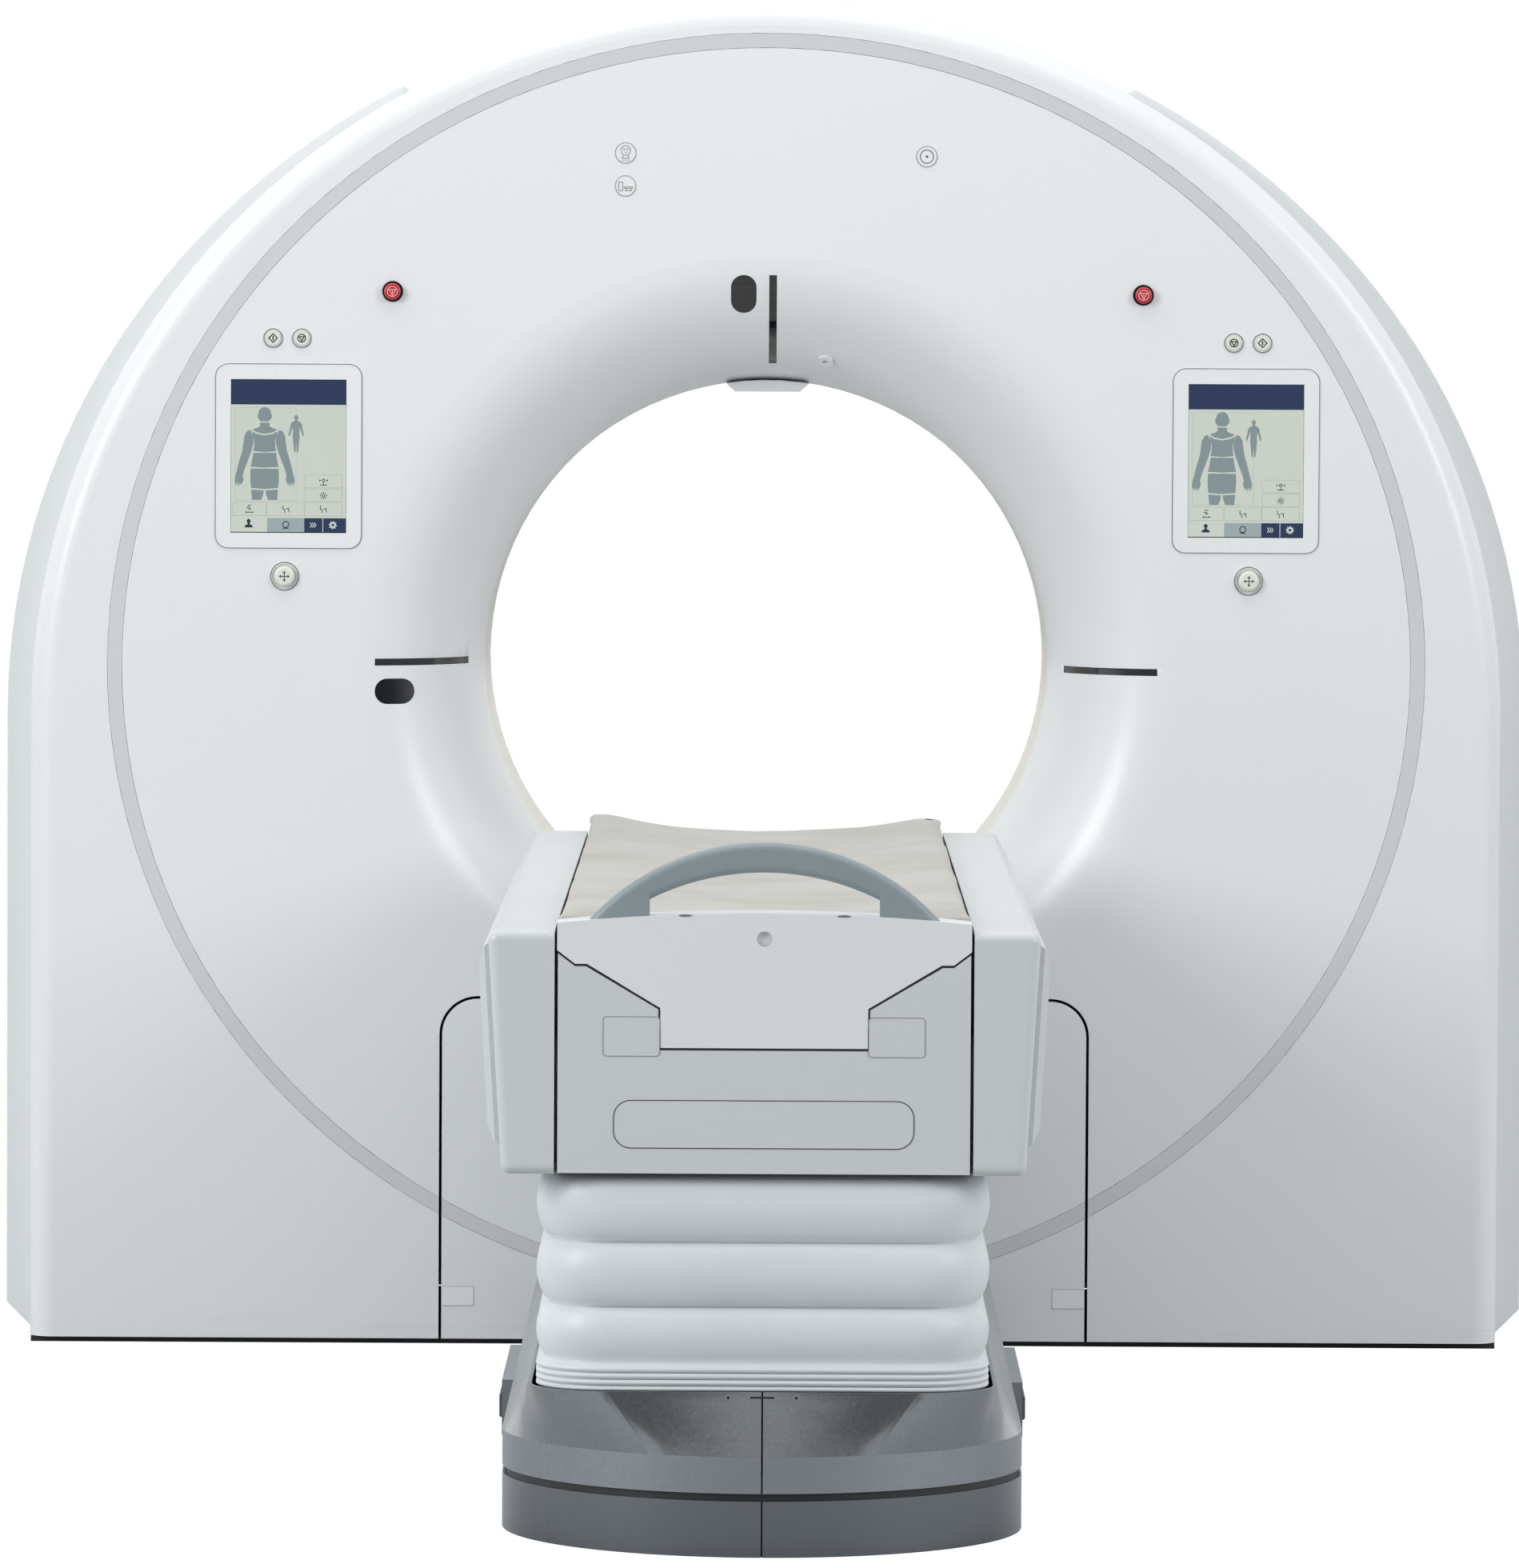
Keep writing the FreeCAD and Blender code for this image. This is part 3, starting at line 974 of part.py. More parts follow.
make_front_covers()
make_other_covers()
make_front_fittings()
make_gantry_frame()
make_rotor()
make_couch_base()
make_couch_body()
make_tabletop()
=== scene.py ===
"""Finishes, soft goods, screens and studio of a CT scanner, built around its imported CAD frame."""
import math

import bmesh
import bpy
import numpy as np
from mathutils import Euler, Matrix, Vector, noise
from mathutils.bvhtree import BVHTree


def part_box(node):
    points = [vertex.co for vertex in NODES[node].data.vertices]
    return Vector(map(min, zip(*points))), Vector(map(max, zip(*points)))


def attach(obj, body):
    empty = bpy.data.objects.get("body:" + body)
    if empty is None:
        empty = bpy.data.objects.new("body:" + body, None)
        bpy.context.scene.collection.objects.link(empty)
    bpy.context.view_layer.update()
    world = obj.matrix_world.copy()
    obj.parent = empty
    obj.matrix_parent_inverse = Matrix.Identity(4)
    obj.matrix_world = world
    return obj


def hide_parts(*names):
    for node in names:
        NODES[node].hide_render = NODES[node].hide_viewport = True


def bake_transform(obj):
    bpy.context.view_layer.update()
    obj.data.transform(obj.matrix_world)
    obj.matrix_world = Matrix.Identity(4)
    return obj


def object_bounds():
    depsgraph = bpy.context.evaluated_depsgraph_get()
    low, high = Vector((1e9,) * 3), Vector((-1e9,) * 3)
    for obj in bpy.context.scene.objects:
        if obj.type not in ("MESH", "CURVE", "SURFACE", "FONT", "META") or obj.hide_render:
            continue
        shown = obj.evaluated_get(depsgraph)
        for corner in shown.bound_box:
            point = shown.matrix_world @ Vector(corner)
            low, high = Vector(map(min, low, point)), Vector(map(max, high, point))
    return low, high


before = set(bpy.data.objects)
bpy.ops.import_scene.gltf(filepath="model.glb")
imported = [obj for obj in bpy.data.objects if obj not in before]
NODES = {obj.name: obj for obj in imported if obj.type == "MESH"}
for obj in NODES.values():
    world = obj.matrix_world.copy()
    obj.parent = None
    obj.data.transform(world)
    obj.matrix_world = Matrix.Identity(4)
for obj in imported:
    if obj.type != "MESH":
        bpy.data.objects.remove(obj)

bl_info = {
    "name": "CT Scanner",
    "version": (1, 0, 0),
    "blender": (4, 5, 0),
    "location": "3D View > Sidebar > CT Scanner",
    "description": "Finishes a CT scanner and sets it in a plain studio",
    "category": "Object",
}

CAD_LOW, CAD_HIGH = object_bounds()
MM = 0.001
PANEL_TAB = "CT Scanner"


# ---------------------------------------------------------------- settings

def tone(red, green, blue):
    """Linear colour of a screen colour given from 0 to 255."""
    return tuple(
        c / 12.92 if c <= 0.04045 else ((c + 0.055) / 1.055) ** 2.4
        for c in (red / 255, green / 255, blue / 255)
    )


def times(shown, factor):
    """Colour made darker or brighter."""
    return tuple(factor * v for v in shown)


def colour(label, red, green, blue):
    """Colour setting with its own name and default."""
    return bpy.props.FloatVectorProperty(
        name=label, description=f"Colour of the {label.lower()}", size=3, min=0, max=1,
        subtype="COLOR", default=tone(red, green, blue))


def length(label, text, metres):
    """Length setting in metres."""
    return bpy.props.FloatProperty(
        name=label, description=text, default=metres, min=0, unit="LENGTH", precision=4)


def share(label, text, value):
    """Setting from 0 to 1."""
    return bpy.props.FloatProperty(
        name=label, description=text, default=value, min=0, max=1, subtype="FACTOR")


class ScannerCoverColours(bpy.types.PropertyGroup):
    """Colours of the outer covers"""
    gantry_white: colour("Gantry covers", 232, 235, 236)
    gantry_shade: colour("Gantry cover shading", 225, 229, 231)
    # the couch and end cap whites are darker copies of the gantry white: painted shade for the
    # dimmer low front
    couch_white: colour("Couch covers", 200, 205, 207)
    couch_shade: colour("Couch cover shading", 195, 200, 202)
    cap_white: colour("End cap", 218, 222, 224)
    # painted shadow in the gap round the end cap's notch, and the dark hatch joint lines
    gap_shadow_and_seam_line: colour("Seals and hatch outlines", 30, 31, 33)
    faint_line: colour("Faint outlines", 138, 141, 143)
    trim_silver: colour("Trim ring", 228, 230, 232)
    base_silver: colour("Base covers", 141, 147, 152)
    base_flake: colour("Base cover flakes", 162, 168, 172)
    skirt_silver: colour("Base skirts", 112, 117, 122)
    scuff: colour("Scuffs near the floor", 96, 98, 98)
    bore_cream: colour("Bore window", 226, 222, 211)


class ScannerSoftColours(bpy.types.PropertyGroup):
    """Colours of the mattress, bellows and handle"""
    vinyl: colour("Mattress vinyl", 182, 181, 176)
    vinyl_crease: colour("Mattress creases", 164, 162, 155)
    bellows: colour("Bellows fabric", 216, 222, 226)
    bellows_fold: colour("Bellows folds", 199, 206, 210)
    handle: colour("Grab handle", 136, 148, 153)
    handle_shade: colour("Grab handle shading", 129, 140, 145)
    strap: colour("Straps", 34, 35, 38)


class ScannerControlColours(bpy.types.PropertyGroup):
    """Colours of the controls, windows and screens"""
    key_cap: colour("Button caps", 224, 228, 220)
    key_ring: colour("Button rings", 232, 234, 231)
    ring_line: colour("Outlines of the button rings", 100, 102, 98)
    boot: colour("Joystick boots", 226, 230, 224)
    bezel_line: colour("Outlines of the screen bezels", 150, 155, 158)
    stop_red: colour("Emergency stops", 196, 22, 38)
    stop_ring: colour("Emergency stop rings", 14, 10, 12)
    ink: colour("Printed marks", 30, 30, 28)
    pale_ink: colour("Marks on the emergency stops", 236, 200, 202)
    lamp_ink: colour("Lamp marks", 112, 115, 113)
    glass: colour("Dark windows", 16, 18, 22)
    bezel: colour("Screen bezels", 232, 236, 236)
    screen_field: colour("Screen field", 205, 213, 203)
    screen_header: colour("Screen header", 44, 58, 90)
    screen_figure: colour("Screen figure", 134, 149, 152)
    screen_line: colour("Screen lines", 168, 176, 164)
    screen_tab: colour("Screen tab", 158, 172, 176)
    screen_ink: colour("Screen icons", 44, 52, 78)


class ScannerMetalColours(bpy.types.PropertyGroup):
    """Colours of the frame and the parts inside"""
    frame_paint: colour("Frame paint", 34, 36, 38)
    cast_paint: colour("Cast ring paint", 96, 104, 110)
    steel: colour("Machined steel", 176, 178, 180)
    aluminium: colour("Aluminium", 196, 198, 200)
    unit_paint: colour("Unit housings", 138, 144, 150)
    brass: colour("Slip ring tracks", 190, 158, 92)
    rubber: colour("Rubber", 26, 26, 27)
    pedal: colour("Foot pedals", 74, 77, 80)
    carbon: colour("Carbon fibre", 44, 46, 50)
    filter: colour("Vent filters", 92, 96, 98)


class ScannerSizes(bpy.types.PropertyGroup):
    """Sizes of the soft goods and small details"""
    fold_depth: length("Fold depth", "How far a large bellows fold stands out from its valley",
                       0.019)
    pleat_depth: length("Pleat depth", "How far a small bellows pleat stands out", 0.005)
    fabric_wall: length("Fabric wall", "Thickness of the bellows fabric", 0.003)
    wrinkle_height: length("Wrinkle height", "Height of the mattress wrinkles", 0.006)
    corner_rise: length("Corner rise", "How far the mattress's rear corners curl up", 0.009)
    pad_voxel: length("Pad voxel", "Mesh size of the mattress before it is puffed up", 0.0075)
    pad_swell: length("Pad swell", "Most that a point of the mattress may move", 0.005)
    mark_relief: length("Mark relief", "Thickness of a printed mark", 0.00025)
    pad_fill: share("Pad fill", "How full the mattress is, from slack to tight", 0.45)


class ScannerStudio(bpy.types.PropertyGroup):
    """Camera, lights and floor"""
    distance: length("Camera distance", "From the gantry's front face to the camera", 13.916)
    eye_height: length("Eye height", "Camera height above the floor", 1.48)
    aim_height: length("Aim height", "Height of the point the camera looks at", 0.791)
    aim_side: bpy.props.FloatProperty(
        name="Aim side", description="Sideways place of the point the camera looks at",
        default=-0.0084, unit="LENGTH", precision=4)
    roll: bpy.props.FloatProperty(
        name="Roll", description="Turn of the camera about its own axis",
        default=math.radians(0.3), subtype="ANGLE")
    lens: bpy.props.FloatProperty(
        name="Lens", description="Focal length in millimetres", default=228.2, min=1)
    floor_span: length("Floor span", "Side of the square floor", 60)
    floor_tone: colour("Floor's bounced light", 178, 180, 182)
    sky: bpy.props.FloatProperty(
        name="Surroundings", description="Brightness of the white surroundings", default=1.0, min=0)
    front_dim: bpy.props.FloatProperty(
        name="Front brightness", description="Brightness of the surroundings behind the camera",
        default=0.12, min=0)
    key_power: bpy.props.FloatProperty(
        name="Key light", description="Power of the soft light on the left, in watts", default=270,
        min=0)
    overhead_power: bpy.props.FloatProperty(
        name="Overhead light", description="Power of the soft light above the front, in watts",
        default=34,
        min=0)
    fill_power: bpy.props.FloatProperty(
        name="Fill light", description="Power of the soft light on the right, in watts",
        default=170, min=0)
    overhead_aim: length("Overhead aim", "Height on the gantry that the lights point at", 1.5)


SETTINGS = {
    "scanner_covers": ScannerCoverColours,
    "scanner_soft": ScannerSoftColours,
    "scanner_controls": ScannerControlColours,
    "scanner_metals": ScannerMetalColours,
    "scanner_sizes": ScannerSizes,
    "scanner_studio": ScannerStudio,
}


# ---------------------------------------------------------------- shader groups

def new_group(name, inputs, outputs):
    """Empty shader group with named sockets, and its input and output nodes."""
    group = bpy.data.node_groups.new(name, "ShaderNodeTree")
    for label, kind in inputs:
        group.interface.new_socket(label, in_out="INPUT", socket_type=f"NodeSocket{kind}")
    for label, kind in outputs:
        group.interface.new_socket(label, in_out="OUTPUT", socket_type=f"NodeSocket{kind}")
    return group, group.nodes.new("NodeGroupInput"), group.nodes.new("NodeGroupOutput")


def math_node(group, operation, first, second, clamp=False):
    """Math node whose inputs are sockets or numbers."""
    node = group.nodes.new("ShaderNodeMath")
    node.operation = operation
    node.use_clamp = clamp
    for socket, value in zip(node.inputs, (first, second)):
        if isinstance(value, bpy.types.NodeSocket):
            group.links.new(value, socket)
        else:
            socket.default_value = value
    return node.outputs[0]


def mix_colours(group, factor, first, second):
    """Mix of two colour sockets."""
    node = group.nodes.new("ShaderNodeMix")
    node.data_type = "RGBA"
    for socket, value in ((node.inputs[0], factor), (node.inputs[6], first),
                          (node.inputs[7], second)):
        group.links.new(value, socket)
    return node.outputs[2]


def place(group):
    """Point on the piece, in metres."""
    return group.nodes.new("ShaderNodeTexCoord").outputs["Object"]


def grain(group, point, size, detail=3.0):
    """Noise whose features are about size across."""
    node = group.nodes.new("ShaderNodeTexNoise")
    node.inputs["Detail"].default_value = detail
    group.links.new(point, node.inputs["Vector"])
    group.links.new(math_node(group, "DIVIDE", 1.0, size), node.inputs["Scale"])
    return node.outputs["Fac"]


def axes(group, point):
    """X, Y and Z outputs of a point."""
    split = group.nodes.new("ShaderNodeSeparateXYZ")
    group.links.new(point, split.inputs[0])
    return split.outputs


def stretched(group, point, factors):
    """Point scaled along each axis."""
    stretch = group.nodes.new("ShaderNodeVectorMath")
    stretch.operation = "MULTIPLY"
    stretch.inputs[1].default_value = factors
    group.links.new(point, stretch.inputs[0])
    return stretch.outputs[0]


def for_camera(tree, seen, lighting, target):
    """Sends lighting to the target socket, but seen where the camera looks straight at it."""
    shown = tree.nodes.new("ShaderNodeMixShader")
    tree.links.new(tree.nodes.new("ShaderNodeLightPath").outputs["Is Camera Ray"], shown.inputs[0])
    tree.links.new(lighting, shown.inputs[1])
    tree.links.new(seen, shown.inputs[2])
    tree.links.new(shown.outputs[0], target)


def build_moulded_surface():
    """Cloudy colour, roughness and fine grain of moulded or painted plastic."""
    group, given, put = new_group(
        "Moulded Surface",
        [("Colour", "Color"), ("Shade", "Color"), ("Cloud Size", "Float"), ("Grain Size", "Float"),
         ("Roughness", "Float"), ("Spread", "Float")],
        [("Colour", "Color"), ("Roughness", "Float"), ("Height", "Float")])
    point = place(group)
    cloud = grain(group, point, given.outputs["Cloud Size"])
    fine = grain(group, point, given.outputs["Grain Size"], 2.0)
    drift = math_node(group, "MULTIPLY", math_node(group, "SUBTRACT", cloud, 0.5),
                      given.outputs["Spread"])
    links = group.links
    links.new(mix_colours(group, cloud, given.outputs["Colour"], given.outputs["Shade"]),
              put.inputs["Colour"])
    links.new(math_node(group, "ADD", given.outputs["Roughness"], drift, clamp=True),
              put.inputs["Roughness"])
    links.new(fine, put.inputs["Height"])
    return group


def build_floor_scuffs():
    """Dark rubbed streaks on the lowest part of a piece."""
    group, given, put = new_group(
        "Floor Scuffs",
        [("Colour", "Color"), ("Scuff", "Color"), ("Reach", "Float"), ("Amount", "Float")],
        [("Colour", "Color")])
    point = place(group)
    height = math_node(group, "DIVIDE", axes(group, point)["Z"], given.outputs["Reach"])
    low = math_node(group, "SUBTRACT", 1.0, height, clamp=True)
    streak = group.nodes.new("ShaderNodeTexNoise")
    streak.inputs["Scale"].default_value = 1.0
    streak.inputs["Detail"].default_value = 5.0
    group.links.new(stretched(group, point, (6, 6, 60)), streak.inputs["Vector"])
    ridge = math_node(group, "MULTIPLY",
                      math_node(group, "SUBTRACT", streak.outputs["Fac"], 0.56, clamp=True), 7.0,
                      clamp=True)
    mask = math_node(group, "MULTIPLY", math_node(group, "MULTIPLY", ridge, low),
                     given.outputs["Amount"])
    group.links.new(mix_colours(group, mask, given.outputs["Colour"], given.outputs["Scuff"]),
                    put.inputs["Colour"])
    return group


def build_vinyl_grain():
    """Cells and creases of embossed vinyl."""
    group, given, put = new_group(
        "Vinyl Grain",
        [("Colour", "Color"), ("Crease", "Color"), ("Cell Size", "Float"), ("Patch Size", "Float")],
        [("Colour", "Color"), ("Height", "Float")])
    point = place(group)
    cells = group.nodes.new("ShaderNodeTexVoronoi")
    cells.feature = "SMOOTH_F1"
    group.links.new(point, cells.inputs["Vector"])
    group.links.new(math_node(group, "DIVIDE", 1.0, given.outputs["Cell Size"]),
                    cells.inputs["Scale"])
    patch = grain(group, point, given.outputs["Patch Size"], 5.0)
    deep = math_node(group, "MULTIPLY", math_node(group, "SUBTRACT", patch, 0.42, clamp=True), 2.2,
                     clamp=True)
    group.links.new(mix_colours(group, deep, given.outputs["Colour"], given.outputs["Crease"]),
                    put.inputs["Colour"])
    group.links.new(math_node(group, "SUBTRACT", 1.0, cells.outputs["Distance"]),
                    put.inputs["Height"])
    return group


def build_fine_weave():
    """Plain weave of coated fabric."""
    group, given, put = new_group(
        "Fine Weave", [("Thread", "Float")], [("Height", "Float")])
    split = axes(group, place(group))
    turn = math_node(group, "DIVIDE", math.pi, given.outputs["Thread"])
    across = math_node(group, "ADD", split["X"], split["Y"])
    warp = math_node(group, "SINE", math_node(group, "MULTIPLY", across, turn), 0.0)
    weft = math_node(group, "SINE", math_node(group, "MULTIPLY", split["Z"], turn), 0.0)
    group.links.new(math_node(group, "MULTIPLY", warp, weft), put.inputs["Height"])
    return group


def build_machined_lines():
    """Tool marks that run round or along a metal piece."""
    group, given, put = new_group(
        "Machined Lines",
        [("Colour", "Color"), ("Mark", "Color"), ("Roughness", "Float"), ("Pitch", "Float")],
        [("Colour", "Color"), ("Roughness", "Float"), ("Height", "Float")])
    lines = grain(group, stretched(group, place(group), (1.0, 14.0, 1.0)), given.outputs["Pitch"],
                  4.0)
    rough = math_node(group, "ADD", given.outputs["Roughness"],
                      math_node(group, "MULTIPLY", lines, 0.12), clamp=True)
    group.links.new(mix_colours(group, lines, given.outputs["Colour"], given.outputs["Mark"]),
                    put.inputs["Colour"])
    group.links.new(rough, put.inputs["Roughness"])
    group.links.new(lines, put.inputs["Height"])
    return group


def build_height_split():
    """One colour below a level and another above it."""
    group, given, put = new_group(
        "Height Split",
        [("Below", "Color"), ("Above", "Color"), ("Level", "Float")], [("Colour", "Color")])
    over = math_node(group, "GREATER_THAN", axes(group, place(group))["Z"], given.outputs["Level"])
    group.links.new(mix_colours(group, over, given.outputs["Below"], given.outputs["Above"]),
                    put.inputs["Colour"])
    return group


GROUP_BUILDERS = {
    "Moulded Surface": build_moulded_surface,
    "Floor Scuffs": build_floor_scuffs,
    "Vinyl Grain": build_vinyl_grain,
    "Fine Weave": build_fine_weave,
    "Machined Lines": build_machined_lines,
    "Height Split": build_height_split,
}


# ---------------------------------------------------------------- materials

class Finish:
    """One material under construction."""

    def __init__(self, name, **sockets):
        self.material = bpy.data.materials.new(name)
        self.material.use_nodes = True
        self.tree = self.material.node_tree
        self.shader = self.tree.nodes["Principled BSDF"]
        for label, value in sockets.items():
            socket = self.shader.inputs[label.replace("_", " ")]
            socket.default_value = (*value, 1.0) if isinstance(value, tuple) else value

    def effect(self, name, **values):
        """The named shader group, with its inputs set."""
        node = self.tree.nodes.new("ShaderNodeGroup")
        node.node_tree = bpy.data.node_groups.get(name) or GROUP_BUILDERS[name]()
        for label, value in values.items():
            socket = node.inputs[label.replace("_", " ")]
            if isinstance(value, bpy.types.NodeSocket):
                self.tree.links.new(value, socket)
            elif socket.type == "RGBA":
                socket.default_value = (*value, 1.0)
            else:
                socket.default_value = value
        return node

    def feed(self, label, socket):
        """Links a socket to the shader."""
        self.tree.links.new(socket, self.shader.inputs[label.replace("_", " ")])
        return self

    def surface(self, node):
        """Takes the shader's colour and roughness from a shader group."""
        return self.feed("Base Color", node.outputs["Colour"]).feed("Roughness",
                                                                    node.outputs["Roughness"])

    def bump(self, height, depth, strength=0.6):
        """Fine relief depth metres high."""
        node = self.tree.nodes.new("ShaderNodeBump")
        node.inputs["Strength"].default_value = strength
        node.inputs["Distance"].default_value = depth
        self.tree.links.new(height, node.inputs["Height"])
        return self.feed("Normal", node.outputs[0])


def moulded(name, base, shade, roughness=0.38, spread=0.1, grain_size=0.0012, depth=0.00006,
            cloud=0.35,
            scuff=None, **sockets):
    """Moulded plastic or paint: shade is a colour or factor, scuff is (colour, reach, amount)."""
    finish = Finish(name, **sockets)
    if isinstance(shade, float):
        shade = times(base, shade)
    surface = finish.effect("Moulded Surface", Colour=base, Shade=shade, Cloud_Size=cloud,
                            Grain_Size=grain_size,
                            Roughness=roughness, Spread=spread)
    shown = surface.outputs["Colour"]
    if scuff:
        marks = finish.effect("Floor Scuffs", Colour=shown, Scuff=scuff[0], Reach=scuff[1],
                              Amount=scuff[2])
        shown = marks.outputs["Colour"]
    finish.feed("Base Color", shown).feed("Roughness", surface.outputs["Roughness"])
    return finish.bump(surface.outputs["Height"], depth).material


def machined(name, base, roughness=0.3, pitch=0.02):
    """Turned or milled metal."""
    finish = Finish(name, Metallic=1.0)
    lines = finish.effect("Machined Lines", Colour=base, Mark=times(base, 0.82),
                          Roughness=roughness,
                          Pitch=pitch)
    return finish.surface(lines).bump(lines.outputs["Height"], 0.00012, 0.4).material


def lit(name, shown):
    """Backlit screen colour."""
    finish = Finish(name, Roughness=0.25, Emission_Strength=0.85)
    surface = finish.effect("Moulded Surface", Colour=shown, Shade=times(shown, 0.94),
                            Cloud_Size=0.06, Grain_Size=0.0004,
                            Roughness=0.25, Spread=0.05)
    finish.shader.inputs["Base Color"].default_value = (*times(shown, 0.12), 1.0)
    finish.feed("Emission Color", surface.outputs["Colour"]).feed("Roughness",
                                                                  surface.outputs["Roughness"])
    return finish.material


def paint(material, *names):
    """Puts a material on every slot of the named CAD nodes."""
    for name in names:
        for holder in NODES[name].material_slots:
            holder.material = material


# ---------------------------------------------------------------- mesh helpers

def new_piece(name, maker, materials, body):
    """Object from a bmesh that rides on a CAD body."""
    bmesh.ops.recalc_face_normals(maker, faces=maker.faces)
    mesh = bpy.data.meshes.new(name)
    maker.to_mesh(mesh)
    maker.free()
    piece = bpy.data.objects.new(name, mesh)
    bpy.context.scene.collection.objects.link(piece)
    for material in materials:
        mesh.materials.append(material)
    if body:
        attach(piece, body)
    return piece


def smooth(piece):
    """Smooth shading all over."""
    for face in piece.data.polygons:
        face.use_smooth = True
    return piece


def front_of(node):
    """Function that gives the CAD node's foremost y at a point (x, z)."""
    mesh = NODES[node].data
    tree = BVHTree.FromPolygons([v.co for v in mesh.vertices],
                                [tuple(p.vertices) for p in mesh.polygons])
    reach = CAD_LOW.y - 1.0

    def at(x, z):
        hit = tree.ray_cast(Vector((x, reach, z)), Vector((0, 1, 0)))[0]
        if hit is None:
            raise RuntimeError(f"{node} has nothing in front at ({x:.3f}, {z:.3f})")
        return hit.y
    return at


def half_box(node, side):
    """Box of the half of a CAD node on one side of the centre plane: -1 left, 1 right."""
    points = np.array([v.co for v in NODES[node].data.vertices if v.co.x * side > 0])
    return Vector(points.min(0)), Vector(points.max(0))


def centre(low, high):
    """Middle (x, z) of a box."""
    return (low.x + high.x) / 2, (low.z + high.z) / 2


def join_rings(maker, rings):
    """Faces between each closed ring of vertices and the next."""
    for first, second in zip(rings, rings[1:]):
        for i in range(len(first)):
            j = (i + 1) % len(first)
            maker.faces.new((first[i], first[j], second[j], second[i]))


def solid_band(maker, first, second, closed, front, relief, index):
    """Thin solid between two rows of points (x, z), its back on the surface that front gives."""
    rows = []
    for x, z in (*first, *second):
        y = front(x, z)
        rows.append((maker.verts.new((x, y, z)), maker.verts.new((x, y - relief, z))))
    count = len(first)
    a, b = rows[:count], rows[count:]
    steps = count if closed else count - 1
    for i in range(steps):
        j = (i + 1) % count
        for quad in ((a[i][1], a[j][1], b[j][1], b[i][1]), (a[i][0], b[i][0], b[j][0], a[j][0]),
                     (a[i][0], a[j][0], a[j][1], a[i][1]), (b[i][0], b[i][1], b[j][1], b[j][0])):
            maker.faces.new(quad).material_index = index
    if not closed:
        for i in (0, count - 1):
            maker.faces.new((a[i][0], a[i][1], b[i][1], b[i][0])).material_index = index


def solid_shape(maker, outline, front, relief, index):
    """Thin solid with the given outline of points (x, z)."""
    backs = [maker.verts.new((x, front(x, z), z)) for x, z in outline]
    fronts = [maker.verts.new((v.co.x, v.co.y - relief, v.co.z)) for v in backs]
    count = len(outline)
    maker.faces.new(backs).material_index = index
    maker.faces.new(fronts[::-1]).material_index = index
    for i in range(count):
        j = (i + 1) % count
        maker.faces.new((backs[i], backs[j], fronts[j], fronts[i])).material_index = index


def stroke(maker, points, width, front, relief, index, closed=False):
    """Thin solid line with mitred corners."""
    count = len(points)
    first, second = [], []
    for i, point in enumerate(points):
        here = Vector(point)
        ways = []
        if closed or i:
            ways.append((here - Vector(points[i - 1])).normalized())
        if closed or i < count - 1:
            ways.append((Vector(points[(i + 1) % count]) - here).normalized())
        along = sum(ways, Vector((0, 0))).normalized()
        side = Vector((-along.y, along.x))
        reach = width / 2 / max(0.5, side.dot(Vector((-ways[0].y, ways[0].x))))
        first.append(here + side * reach)
        second.append(here - side * reach)
    solid_band(maker, first, second, closed, front, relief, index)


def oval(x, z, half_x, half_z, count=32):
    """Points on an upright ellipse."""
    turns = [2 * math.pi * i / count for i in range(count)]
    return [(x + half_x * math.cos(a), z + half_z * math.sin(a)) for a in turns]


def circle(x, z, radius, count=32):
    """Points on a circle."""
    return oval(x, z, radius, radius, count)


def moved(points, x, z, size=1.0):
    """Points scaled and shifted."""
    return [(x + a * size, z + b * size) for a, b in points]


# ---------------------------------------------------------------- covers and metal

class SCANNER_OT_gantry_covers(bpy.types.Operator):
    """Give the gantry covers their moulded white finish and the trim ring its silver one"""
    bl_idname = "scanner.gantry_covers"
    bl_label = "Gantry Covers"

    def execute(self, context):
        c = context.scene.scanner_covers
        white = moulded("cover_white", c.gantry_white, c.gantry_shade, roughness=0.34, cloud=0.9,
                        scuff=(c.scuff, 0.05, 0.12), Coat_Weight=0.15, Coat_Roughness=0.2)
        paint(white, "front_cover", "front_face_cover", "dock_cover", "side_cover_left",
              "side_cover_right",
              "top_cover", "rear_cover", "bore_camera_pod", "microphone_boss")
        silver = moulded("accent_silver", c.trim_silver, 0.9, roughness=0.36,
                         grain_size=0.0006, depth=0.00003, Metallic=0.3)
        paint(silver, "accent_ring")
        cream = moulded("scan_window", c.bore_cream, 0.96, roughness=0.3,
                        grain_size=0.0008, Subsurface_Weight=0.05)
        paint(cream, "scan_window")
        return {"FINISHED"}


class SCANNER_OT_couch_covers(bpy.types.Operator):
    """Give the couch covers, end cap, hatches, trims and grab handle their finishes"""
    bl_idname = "scanner.couch_covers"
    bl_label = "Couch Covers"

    def execute(self, context):
        c, s = context.scene.scanner_covers, context.scene.scanner_soft
        # painted shade: the couch covers' white is darkened to stand in for the dimmer light low at
        # the front
        white = moulded("couch_white", c.couch_white, c.couch_shade, roughness=0.36, cloud=0.5,
                        Coat_Weight=0.12, Coat_Roughness=0.22)
        paint(white, "couch_side_cover_left", "couch_side_cover_right", "side_trims",
              "couch_end_cover",
              "end_hatches")
        # painted shade: the end cap gets its own copy of the white, darkened less than the couch
        # covers
        cap = moulded("cap_white", c.cap_white, 0.97, roughness=0.36,
                      Coat_Weight=0.12, Coat_Roughness=0.22)
        paint(cap, "end_cap")
        grip = moulded("handle_grey", s.handle, s.handle_shade, roughness=0.4, grain_size=0.0009,
                       depth=0.00008,
                       cloud=0.08, Coat_Weight=0.1, Coat_Roughness=0.3)
        paint(grip, "grab_handle")
        return {"FINISHED"}


